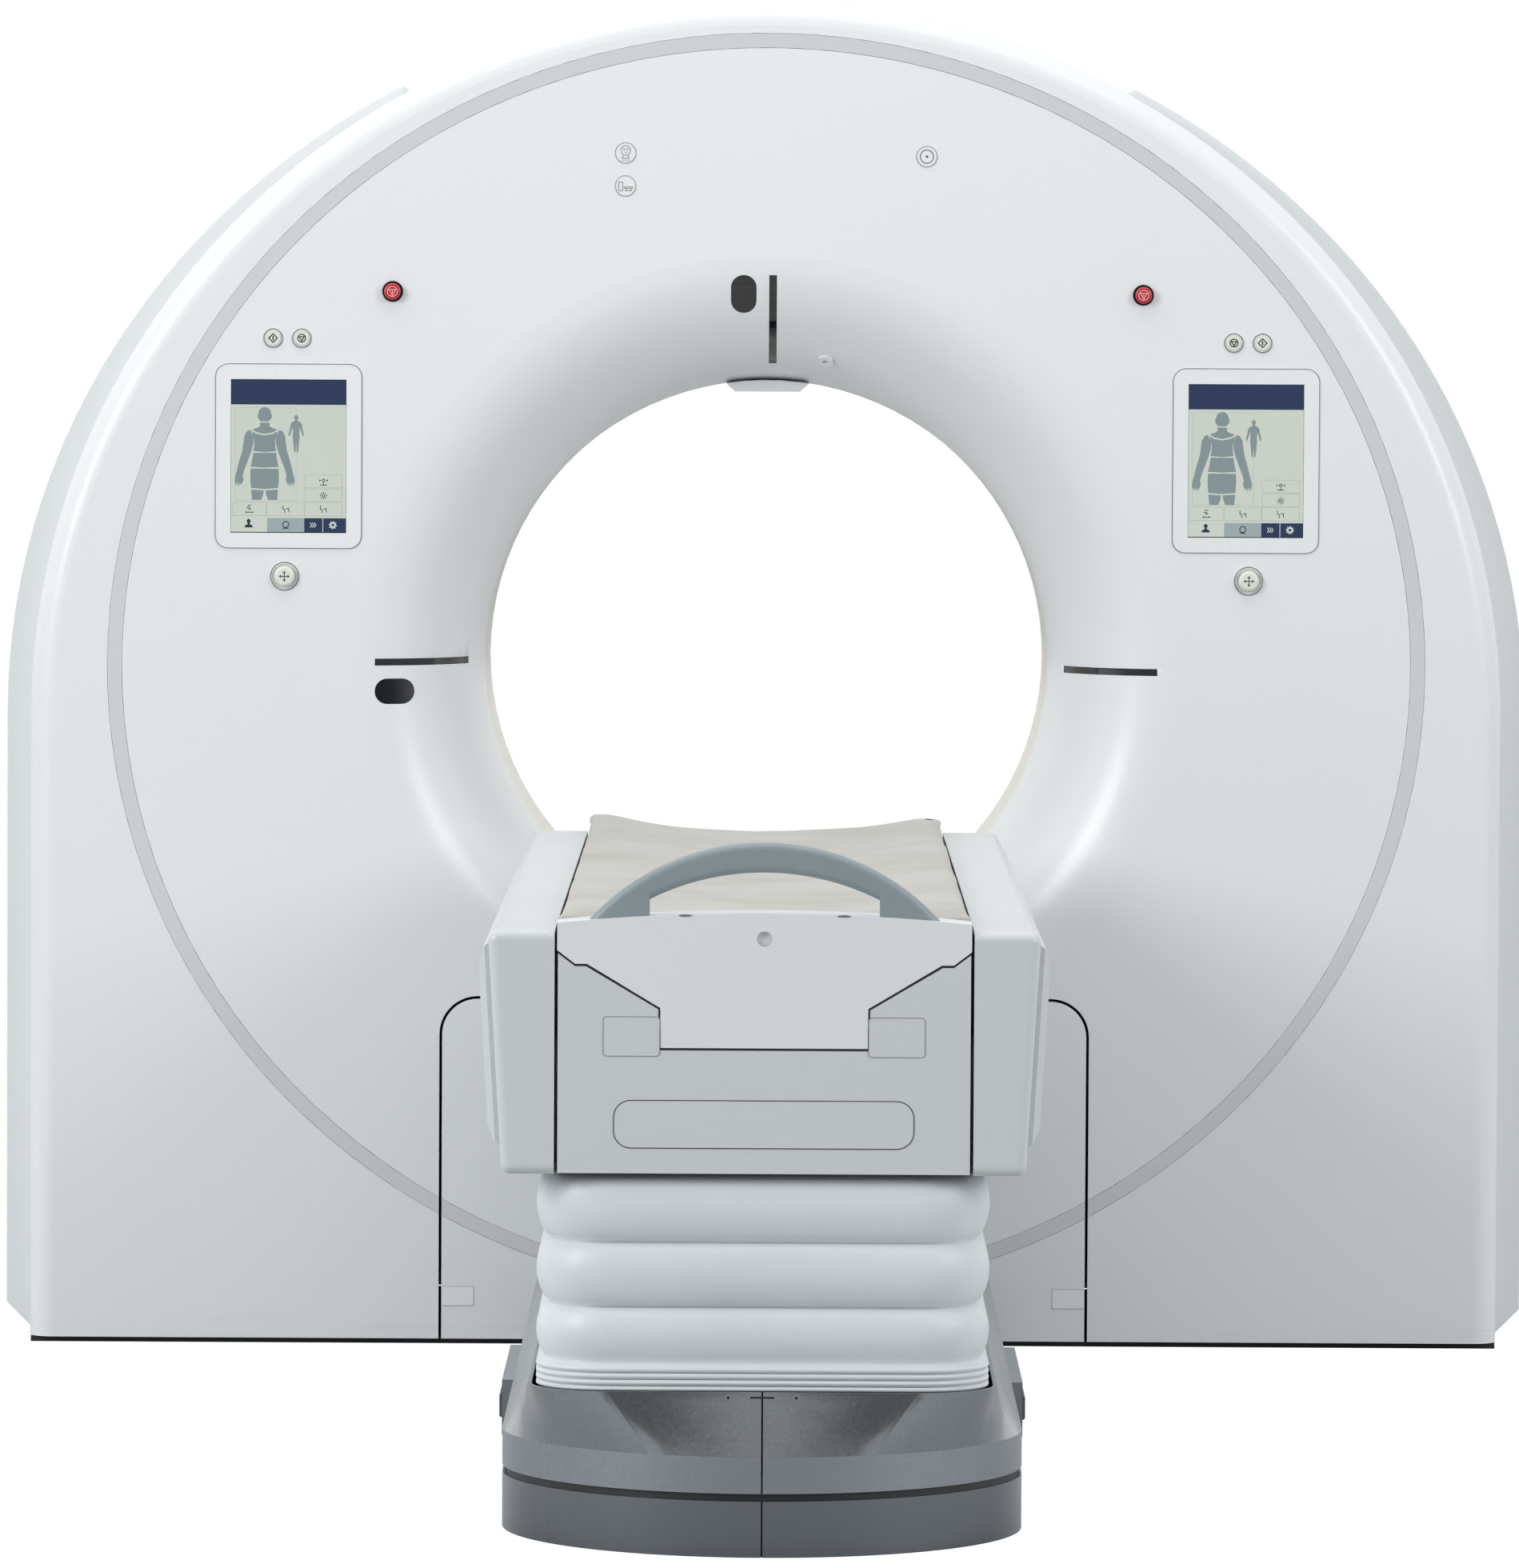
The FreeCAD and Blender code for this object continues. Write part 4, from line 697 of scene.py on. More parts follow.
class SCANNER_OT_base_covers(bpy.types.Operator):
    """Give the couch base its metallic paint"""
    bl_idname = "scanner.base_covers"
    bl_label = "Base Covers"

    def execute(self, context):
        c, m = context.scene.scanner_covers, context.scene.scanner_metals
        silver = moulded("base_silver", c.base_silver, c.base_flake, roughness=0.25, spread=0.1,
                         grain_size=0.0005, depth=0.00003, cloud=0.004, Metallic=0.92,
                         Coat_Weight=0.3, Coat_Roughness=0.15)
        paint(silver, "base_cover_left", "base_cover_right", "pedal_housings")
        skirt = moulded("skirt_silver", c.skirt_silver, 1.2, roughness=0.22,
                        spread=0.1, grain_size=0.0005, depth=0.00003, cloud=0.004,
                        scuff=(c.scuff, 0.03, 0.2),
                        Metallic=0.92, Coat_Weight=0.5, Coat_Roughness=0.12)
        paint(skirt, "base_skirts")
        pedal = moulded("pedal_rubber", m.pedal, 1.3, roughness=0.6,
                        grain_size=0.003, depth=0.0004)
        paint(pedal, "foot_pedal_left", "foot_pedal_right")
        return {"FINISHED"}


class SCANNER_OT_frames(bpy.types.Operator):
    """Finish the frames, lift columns and cradle"""
    bl_idname = "scanner.frames"
    bl_label = "Frames"

    def execute(self, context):
        m = context.scene.scanner_metals
        black = moulded("frame_paint", m.frame_paint, 1.3, roughness=0.5,
                        grain_size=0.002, depth=0.0002)
        paint(black, "gantry_base_frame", "couch_base_frame", "couch_frame")
        cast = moulded("cast_frame", m.cast_paint, 0.85, roughness=0.55,
                       grain_size=0.004, depth=0.0005)
        paint(cast, "stator_frame")
        steel = machined("machined_steel", m.steel)
        paint(steel, "bearing_outer_race", "bearing_inner_race", "lift_outer_columns",
              "lift_middle_columns",
              "collimator")
        fibre = moulded("carbon", m.carbon, 1.4, roughness=0.35, cloud=0.01,
                        grain_size=0.001, depth=0.0001, Coat_Weight=0.4)
        paint(fibre, "cradle")
        return {"FINISHED"}


class SCANNER_OT_rotor_parts(bpy.types.Operator):
    """Finish the spinning parts, drive and brushes"""
    bl_idname = "scanner.rotor_parts"
    bl_label = "Rotor Parts"

    def execute(self, context):
        m = context.scene.scanner_metals
        paint(machined("aluminium", m.aluminium, roughness=0.36), "rotor_drum", "motor_pulley",
              "heat_exchanger")
        paint(machined("slip_brass", m.brass, roughness=0.24, pitch=0.01), "slip_ring")
        unit = moulded("unit_grey", m.unit_paint, 0.88, roughness=0.45,
                       grain_size=0.002, depth=0.0002)
        paint(unit, "xray_tube_housing", "high_voltage_generator", "detector_arc", "drive_motor",
              "brush_block")
        belt = moulded("belt_rubber", m.rubber, 1.4, roughness=0.75,
                       grain_size=0.002, depth=0.0003)
        paint(belt, "drive_belt")
        mesh = moulded("filter_grey", m.filter, 0.6, roughness=0.8, cloud=0.004,
                       grain_size=0.004, depth=0.001)
        paint(mesh, "vent_panels")
        return {"FINISHED"}


# ---------------------------------------------------------------- windows and controls

SWITCH_LEVEL = 1.45


class SCANNER_OT_windows(bpy.types.Operator):
    """Finish the dark windows, screen bezels and lamp lenses"""
    bl_idname = "scanner.windows"
    bl_label = "Windows and Bezels"

    def execute(self, context):
        c = context.scene.scanner_controls
        glass = moulded("dark_window", c.glass, 1.6, roughness=0.08, spread=0.06,
                        depth=0.00001, cloud=0.03, Coat_Weight=1.0, Coat_Roughness=0.03)
        paint(glass, "optical_windows")
        bezel = moulded("display_frame", c.bezel, 0.97, roughness=0.28, cloud=0.1,
                        Coat_Weight=0.3, Coat_Roughness=0.1)
        paint(bezel, "display_bezels")
        panel = moulded("display_screen", c.glass, 1.2, roughness=0.12, depth=0.00001)
        paint(panel, "display_screens")
        lens = moulded("lens_clear", c.bezel, 0.98, roughness=0.18, cloud=0.02,
                       depth=0.00002, Coat_Weight=0.5, Coat_Roughness=0.05)
        paint(lens, "indicator_lenses")
        return {"FINISHED"}


class SCANNER_OT_controls(bpy.types.Operator):
    """Finish the buttons, joysticks, emergency stops and their rings"""
    bl_idname = "scanner.controls"
    bl_label = "Controls"

    def execute(self, context):
        c = context.scene.scanner_controls
        cap = moulded("button_cap", c.key_cap, 0.96, roughness=0.3, cloud=0.01,
                      grain_size=0.0005, Coat_Weight=0.2)
        paint(cap, *[f"{kind}_{side}" for kind in ("start_button", "stop_button", "joystick")
                     for side in ("left", "right")])
        red = moulded("estop_red", c.stop_red, 0.8, roughness=0.26, cloud=0.01,
                      grain_size=0.0006, Coat_Weight=0.6, Coat_Roughness=0.08)
        paint(red, "estop_left", "estop_right")
        ring = Finish("control_ring", Roughness=0.35)
        tint = ring.effect("Height Split", Below=tuple(c.key_ring), Above=tuple(c.stop_ring),
                           Level=SWITCH_LEVEL)
        surface = ring.effect("Moulded Surface", Colour=tint.outputs[0], Shade=tint.outputs[0],
                              Cloud_Size=0.01,
                              Grain_Size=0.0006, Roughness=0.35, Spread=0.1)
        paint(ring.surface(surface).bump(surface.outputs["Height"], 0.00004).material,
              "control_rings")
        return {"FINISHED"}


def arrow_cross(size):
    """Outline of four joined arrows."""
    shaft, head, neck = 0.07 * size, 0.3 * size, 0.62 * size
    quarter = [(shaft, shaft), (neck, shaft), (neck, head), (size, 0), (neck, -head),
               (neck, -shaft)]
    turned = []
    for k in range(4):
        cos, sin = round(math.cos(-k * math.pi / 2)), round(math.sin(-k * math.pi / 2))
        turned += [(x * cos - z * sin, x * sin + z * cos) for x, z in quarter]
    return turned


def triangle_down(size):
    """Corners of a triangle that stands on its point."""
    return [(size * math.cos(a), size * math.sin(a))
            for a in (math.radians(30), math.radians(150), math.radians(270))]


# strokes of each control's mark: points from its centre, width, closed or not, in millimetres
CONTROL_MARKS = {
    "start_button": (([(0, 6), (-6, 0), (0, -6), (6, 0)], 1.4, True),
                     ([(0, -2.9), (0, 2.9)], 1.7, False)),
    "stop_button": ((circle(0, 0, 5.4), 1.4, True), (triangle_down(4.0), 1.3, True)),
    "joystick": (),
    "estop": ((circle(0, 0, 7.0), 0.9, True), (triangle_down(5.6), 0.9, True),
              ([(0, -2.6), (0, 1.6)], 1.0, False)),
}
JOYSTICK_ARROWS = 7.4


class SCANNER_OT_control_marks(bpy.types.Operator):
    """Add the raised marks on the buttons, joysticks and emergency stops"""
    bl_idname = "scanner.control_marks"
    bl_label = "Control Marks"

    def execute(self, context):
        c, relief = context.scene.scanner_controls, context.scene.scanner_sizes.mark_relief
        ink = moulded("printed_ink", c.ink, 1.2, roughness=0.5, cloud=0.004)
        pale = moulded("pale_ink", c.pale_ink, 0.94, roughness=0.4, cloud=0.004)
        for side in ("left", "right"):
            for kind, strokes in CONTROL_MARKS.items():
                node = f"{kind}_{side}"
                x, z = centre(*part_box(node))
                front = front_of(node)
                maker = bmesh.new()
                if kind == "joystick":
                    solid_shape(maker, moved(arrow_cross(JOYSTICK_ARROWS), x, z, MM), front, relief,
                                0)
                for points, width, closed in strokes:
                    stroke(maker, moved(points, x, z, MM), width * MM, front, relief, 0, closed)
                new_piece(f"{node}_mark", maker, [pale if kind == "estop" else ink], node)
        return {"FINISHED"}


RING_OUTLINES = (("start_button", 12.6 * MM), ("stop_button", 12.6 * MM), ("joystick", 19.2 * MM))
BEZEL_INSET = 0.4 * MM
BEZEL_CORNER = 17.6 * MM
BOOT_PLEATS = ((6.0, 9.8), (9.8, 13.6), (13.6, 17.3))
BOOT_DEPTH = 2.4


class SCANNER_OT_control_outlines(bpy.types.Operator):
    """Add the thin dark outline of each button's ring and the boot round each joystick's stem"""
    bl_idname = "scanner.control_outlines"
    bl_label = "Control Outlines"

    def execute(self, context):
        c, sizes = context.scene.scanner_controls, context.scene.scanner_sizes
        line = moulded("ring_outline", c.ring_line, 1.2, roughness=0.5, cloud=0.004)
        rubber = moulded("joystick_boot", c.boot, 0.93, roughness=0.6, cloud=0.01)
        front = front_of("control_rings")
        for kind, ring in RING_OUTLINES:
            for side in ("left", "right"):
                x, z = centre(*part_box(f"{kind}_{side}"))
                maker = bmesh.new()
                face = front(x + ring, z)
                stroke(maker, circle(x, z, ring, 48), 0.9 * MM, lambda a, b, y=face: y,
                       sizes.mark_relief, 0,
                       closed=True)
                new_piece(f"{kind}_{side}_outline", maker, [line], "gantry")
                if kind == "joystick":
                    self.boot(f"{kind}_{side}_boot", x, z, rubber)
        self.bezel_outlines(c, sizes)
        return {"FINISHED"}

    def bezel_outlines(self, c, sizes):
        """Thin shadow line round each screen bezel."""
        grey = moulded("bezel_outline", c.bezel_line, 1.1, roughness=0.5, cloud=0.01)
        for side, name in ((-1, "left"), (1, "right")):
            low, high = half_box("display_bezels", side)
            x = centre(low, high)[0]
            loop = rounded_loop((high.x - low.x) / 2 - BEZEL_INSET, low.z + BEZEL_INSET,
                                high.z - BEZEL_INSET,
                                BEZEL_CORNER, 160)
            maker = bmesh.new()
            stroke(maker, [(x + a, b) for (a, b), way in loop], 0.8 * MM, lambda a, b: low.y,
                   sizes.mark_relief, 0,
                   closed=True)
            new_piece(f"display_bezel_{name}_outline", maker, [grey], "gantry")

    def boot(self, name, x, z, rubber):
        """Pleated ring between the stem and the cup, behind the cap."""
        maker = bmesh.new()
        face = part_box("display_bezels")[0].y
        for k, (inner, outer) in enumerate(BOOT_PLEATS):
            solid_band(maker, circle(x, z, inner * MM, 40), circle(x, z, outer * MM, 40), True,
                       lambda a, b, k=k: face + (BOOT_DEPTH + 0.3 * (k % 2)) * MM, 1.0 * MM, 0)
        new_piece(name, maker, [rubber], "gantry")


# strokes of the lamps' pictures: points from the lamp's centre in millimetres, closed or not
FACE_STROKES = (
    (circle(0, 3.4, 6.6), True),
    ([(-1.2, 3.8), (-2.4, 5.8), (-3.6, 4.3)], False), ([(1.2, 3.8), (2.4, 5.8), (3.6, 4.3)], False),
    ([(-4.0, -9.0), (-4.4, -11.4)], False), ([(4.0, -9.0), (4.4, -11.4)], False),
    ([(-1.6, 1.0), (1.6, 1.0)], False), ([(0, -9.4), (0, -12.0)], False),
    ([(-3.2, -3.4), (-4.6, -7.4), (4.6, -7.4), (3.2, -3.4)], False),
)
COUCH_STROKES = (
    ([(-9.5, -6.5), (-3.8, -6.5), (-3.8, 5.5), (-9.5, 5.5)], True),
    ([(-1.6, -1.4), (9.5, -1.4), (9.5, -3.2), (-1.6, -3.2)], True),
    ([(0.6, -6.2), (1.4, -3.8)], False), ([(8.0, -6.2), (7.2, -3.8)], False),
    ([(-1.2, -6.6), (9.4, -6.6)], False),
)
LAMP_LINE = 0.9 * MM
LAMP_RIM = 0.6 * MM


class SCANNER_OT_lamp_marks(bpy.types.Operator):
    """Add the thin marks on the three lamps above the bore"""
    bl_idname = "scanner.lamp_marks"
    bl_label = "Lamp Marks"

    def execute(self, context):
        c, relief = context.scene.scanner_controls, context.scene.scanner_sizes.mark_relief
        ink = moulded("lamp_ink", c.lamp_ink, 1.15, roughness=0.4, cloud=0.004)
        outline = moulded("lamp_outline", times(c.lamp_ink, 2.6), times(c.lamp_ink, 2.4),
                          roughness=0.4, cloud=0.004)
        left_low, left_high = half_box("indicator_lenses", -1)
        right_low, right_high = half_box("indicator_lenses", 1)
        radius = (right_high.x - right_low.x) / 2
        left = (left_low.x + left_high.x) / 2
        upper, lower = (left, left_high.z - radius), (left, left_low.z + radius)
        single = centre(right_low, right_high)
        front = front_of("indicator_lenses")
        maker = bmesh.new()
        for lamp, strokes in ((upper, FACE_STROKES), (lower, COUCH_STROKES)):
            for points, closed in strokes:
                stroke(maker, moved(points, *lamp, MM), LAMP_LINE, front, relief, 0, closed)
        stroke(maker, circle(*single, 9.2 * MM, 48), 1.4 * MM, front, relief, 0, closed=True)
        solid_shape(maker, circle(*single, 2.0 * MM, 20), front, relief, 0)
        for lamp in (single, upper, lower):
            stroke(maker, circle(*lamp, radius - LAMP_RIM, 64), LAMP_RIM, front, relief, 1,
                   closed=True)
        new_piece("lamp_marks", maker, [ink, outline], "gantry")
        return {"FINISHED"}


# ---------------------------------------------------------------- screens

HEAD = [(0.292, 0.179), (0.319, 0.184), (0.340, 0.199), (0.347, 0.220), (0.355, 0.232),
        (0.353, 0.251),
        (0.343, 0.261), (0.326, 0.274), (0.258, 0.274), (0.242, 0.261), (0.232, 0.251),
        (0.230, 0.232),
        (0.238, 0.220), (0.245, 0.199), (0.266, 0.184)]
NECK = [(0.334, 0.282), (0.334, 0.306), (0.357, 0.316), (0.402, 0.326), (0.364, 0.345),
        (0.292, 0.356),
        (0.221, 0.345), (0.183, 0.326), (0.228, 0.316), (0.251, 0.306), (0.251, 0.282)]
CHEST = [(0.292, 0.366), (0.368, 0.355), (0.404, 0.335), (0.396, 0.363), (0.383, 0.400),
         (0.385, 0.434),
         (0.392, 0.468), (0.292, 0.475), (0.192, 0.468), (0.200, 0.434), (0.202, 0.400),
         (0.189, 0.363),
         (0.181, 0.335), (0.217, 0.355)]
BELLY = [(0.394, 0.479), (0.396, 0.504), (0.406, 0.544), (0.415, 0.571), (0.292, 0.576),
         (0.170, 0.571),
         (0.179, 0.544), (0.189, 0.504), (0.191, 0.479)]
HIPS = [(0.413, 0.583), (0.417, 0.626), (0.415, 0.674), (0.409, 0.709), (0.292, 0.716),
        (0.175, 0.709),
        (0.170, 0.674), (0.168, 0.626), (0.172, 0.583)]
THIGH = [(0.300, 0.725), (0.409, 0.719), (0.402, 0.787), (0.323, 0.787), (0.306, 0.756)]
ARM = [(0.419, 0.329), (0.449, 0.340), (0.470, 0.369), (0.477, 0.414), (0.487, 0.468),
       (0.515, 0.535),
       (0.540, 0.612), (0.551, 0.640), (0.553, 0.668), (0.545, 0.699), (0.538, 0.668),
       (0.532, 0.702),
       (0.523, 0.671), (0.515, 0.703), (0.506, 0.674), (0.498, 0.694), (0.487, 0.677),
       (0.475, 0.654),
       (0.483, 0.629), (0.466, 0.583), (0.440, 0.534), (0.409, 0.470), (0.389, 0.414),
       (0.391, 0.374)]
SMALL_FIGURE = [(0.566, 0.230), (0.581, 0.236), (0.585, 0.250), (0.577, 0.263), (0.579, 0.270),
                (0.602, 0.277),
                (0.615, 0.292), (0.621, 0.323), (0.632, 0.352), (0.632, 0.369), (0.623, 0.369),
                (0.606, 0.332),
                (0.598, 0.309), (0.594, 0.340), (0.596, 0.374), (0.589, 0.428), (0.583, 0.473),
                (0.572, 0.477),
                (0.568, 0.428), (0.566, 0.388), (0.564, 0.428), (0.560, 0.477), (0.549, 0.473),
                (0.543, 0.428),
                (0.536, 0.374), (0.538, 0.340), (0.534, 0.309), (0.526, 0.332), (0.509, 0.369),
                (0.500, 0.369),
                (0.500, 0.352), (0.511, 0.323), (0.517, 0.292), (0.530, 0.277), (0.553, 0.270),
                (0.555, 0.263),
                (0.547, 0.250), (0.551, 0.236)]
FIGURE_AXIS = 0.2925
SCREEN_SHAPE = 0.752
KEYS = [(0.643, 0.623, 0.966, 0.706), (0.643, 0.713, 0.966, 0.795), (0.015, 0.802, 0.304, 0.890),
        (0.313, 0.802, 0.636, 0.890), (0.643, 0.802, 0.966, 0.890)]
FIGURE_FRAME = (0.038, 0.185, 0.566, 0.788)
HEADER = (0.0, 0.0, 1.0, 0.164)
FIELD = (0.0, 0.164, 1.0, 0.996)
TABS = [(0.315, 0.905, 0.638, 0.996, 3), (0.638, 0.905, 0.797, 0.996, 1),
        (0.803, 0.905, 1.0, 0.996, 1)]


def corners(left, top, right, bottom):
    """Corners of a rectangle, clockwise from the upper left."""
    return [(left, top), (right, top), (right, bottom), (left, bottom)]


def flipped(points):
    """The same outline on the other side of the figure's axis."""
    return [(2 * FIGURE_AXIS - u, v) for u, v in reversed(points)]


def gear(u, v, size, teeth=8):
    """Outline of a toothed wheel."""
    points = []
    for k in range(teeth * 4):
        angle = 2 * math.pi * (k + 0.5) / (teeth * 4)
        reach = size if k % 4 in (0, 1) else 0.72 * size
        points.append((u + reach * math.cos(angle), v + reach * math.sin(angle) * SCREEN_SHAPE))
    return points


class SCANNER_OT_screens(bpy.types.Operator):
    """Lay out the two touch screens: header, body figure, keys and tabs, without words"""
    bl_idname = "scanner.screens"
    bl_label = "Screens"

    def lay_out(self, context, side, name, materials):
        low, high = half_box("display_screens", side)
        width, height = high.x - low.x, high.z - low.z
        layer = 0.00012

        def at(points):
            return [(low.x + u * width, high.z - v * height) for u, v in points]

        def plane(depth):
            return lambda x, z: low.y - depth

        def shape(points, level, index):
            solid_shape(maker, at(points), plane(level * layer), layer, index)

        def line(points, thick, index, closed=False, level=1):
            stroke(maker, at(points), thick, plane(level * layer), layer, index, closed)

        maker = bmesh.new()
        field, header, figure, tab, edge, icon = range(6)
        shape(corners(*FIELD), 0, field)
        shape(corners(*HEADER), 0, header)
        for left, top, right, bottom, index in TABS:
            shape(corners(left, top, right, bottom), 1, index)
        for outline in (HEAD, NECK, CHEST, BELLY, HIPS, THIGH, flipped(THIGH), ARM, flipped(ARM),
                        SMALL_FIGURE):
            shape(outline, 1, figure)
        line(corners(*FIGURE_FRAME), 0.35 * MM, edge, closed=True)
        for key in KEYS:
            line(corners(*key), 0.5 * MM, edge, closed=True)
        thin = 1.1 * MM
        # travel arrows and couch
        for u, v in ((0.805, 0.658), (0.805, 0.758)):
            line(oval(u, v, 0.012, 0.012 * SCREEN_SHAPE, 12), thin, icon, closed=True)
        for k in range(8):
            a = k * math.pi / 4
            ray = [(0.805 + r * math.cos(a), 0.758 + r * SCREEN_SHAPE * math.sin(a))
                   for r in (0.021, 0.034)]
            line(ray, thin, icon)
        line([(0.805, 0.672), (0.805, 0.692)], thin, icon)
        line([(0.775, 0.688), (0.835, 0.688)], thin, icon)
        for turn in (-1, 1):
            shape([(0.805 + turn * 0.022, 0.658), (0.805 + turn * 0.037, 0.650),
                   (0.805 + turn * 0.037, 0.666)][::turn],
                  1, icon)
        # turned figure, seated figure and couch
        line([(0.145, 0.828), (0.158, 0.822), (0.176, 0.826)], thin, icon)
        line([(0.136, 0.838), (0.158, 0.836), (0.170, 0.846), (0.150, 0.850)], thin, icon)
        line([(0.130, 0.868), (0.190, 0.868)], thin, icon)
        for turn in (-1, 1):
            shape([(0.160 + turn * 0.036, 0.868), (0.160 + turn * 0.022, 0.861),
                   (0.160 + turn * 0.022, 0.875)][::-turn],
                  1, icon)
        for shift in (0.0, 0.326):
            line([(0.452 + shift, 0.824), (0.452 + shift, 0.846), (0.468 + shift, 0.850),
                  (0.468 + shift, 0.872)],
                 thin, icon)
            line([(0.480 + shift, 0.846), (0.502 + shift, 0.842), (0.505 + shift, 0.868)], thin,
                 icon)
        # tab icons: person, gantry, voice, settings
        shape(oval(0.155, 0.926, 0.017, 0.014, 16), 1, icon)
        shape([(0.120, 0.968), (0.122, 0.955), (0.143, 0.947), (0.148, 0.938), (0.162, 0.938),
               (0.167, 0.947),
               (0.188, 0.955), (0.190, 0.968)], 1, icon)
        line(oval(0.477, 0.947, 0.026, 0.020, 20), 1.3 * MM, icon, closed=True, level=2)
        line([(0.452, 0.972), (0.502, 0.972)], 1.2 * MM, icon, level=2)
        for shift in (0.0, 0.018, 0.036):
            line([(0.690 + shift, 0.934), (0.704 + shift, 0.950), (0.690 + shift, 0.966)], thin,
                 field, level=2)
        shape(gear(0.887, 0.950, 0.036), 2, field)
        shape(oval(0.887, 0.950, 0.012, 0.009, 14), 3, header)
        new_piece(name, maker, materials, "gantry")

    def execute(self, context):
        c = context.scene.scanner_controls
        materials = [lit(f"screen_{kind}", getattr(c, f"screen_{kind}"))
                     for kind in ("field", "header", "figure", "tab", "line", "ink")]
        self.lay_out(context, -1, "screen_layout_left", materials)
        self.lay_out(context, 1, "screen_layout_right", materials)
        return {"FINISHED"}


# ---------------------------------------------------------------- soft goods

def valley(x, half, edge_z, dip):
    """Height of the cradle's hollow at x."""
    radius = (half * half + dip * dip) / (2 * dip)
    return edge_z - dip + radius - math.sqrt(radius * radius - x * x)


def puff(piece, pressure, slack, cap, frames=20):
    """Fills a closed mesh with cloth, moves no point more than cap, and leaves a plain mesh."""
    scene = bpy.context.scene
    cloth = piece.modifiers.new("Puff", "CLOTH")
    cloth.point_cache.frame_start, cloth.point_cache.frame_end = 1, frames
    given = cloth.settings
    given.quality = 5
    given.mass = 0.3
    given.use_pressure = True
    given.uniform_pressure_force = pressure
    given.shrink_min = -slack
    given.bending_stiffness = 0.6
    given.effector_weights.gravity = 0
    rest = np.array([v.co for v in piece.data.vertices])
    for step in range(1, frames + 1):
        scene.frame_set(step)
    shaped = piece.evaluated_get(bpy.context.evaluated_depsgraph_get()).data
    now = np.array([v.co for v in shaped.vertices])
    piece.modifiers.remove(cloth)
    scene.frame_set(1)
    shift = now - rest
    size = np.linalg.norm(shift, axis=1, keepdims=True)
    shift *= np.minimum(1.0, cap / np.maximum(size, 1e-9))
    piece.data.vertices.foreach_set("co", (rest + shift).astype(np.float32).ravel())
    piece.data.update()


PAD_GRID = (48, 200)
PAD_RIM = 5 * MM        # width of the rounded edge
PAD_GAP = 0.3 * MM      # above the cradle
PAD_OVERLAP = 7 * MM    # past the CAD mattress on each side, above the cradle's lip
PAD_SNUG = 3 * MM       # the same, below the lip


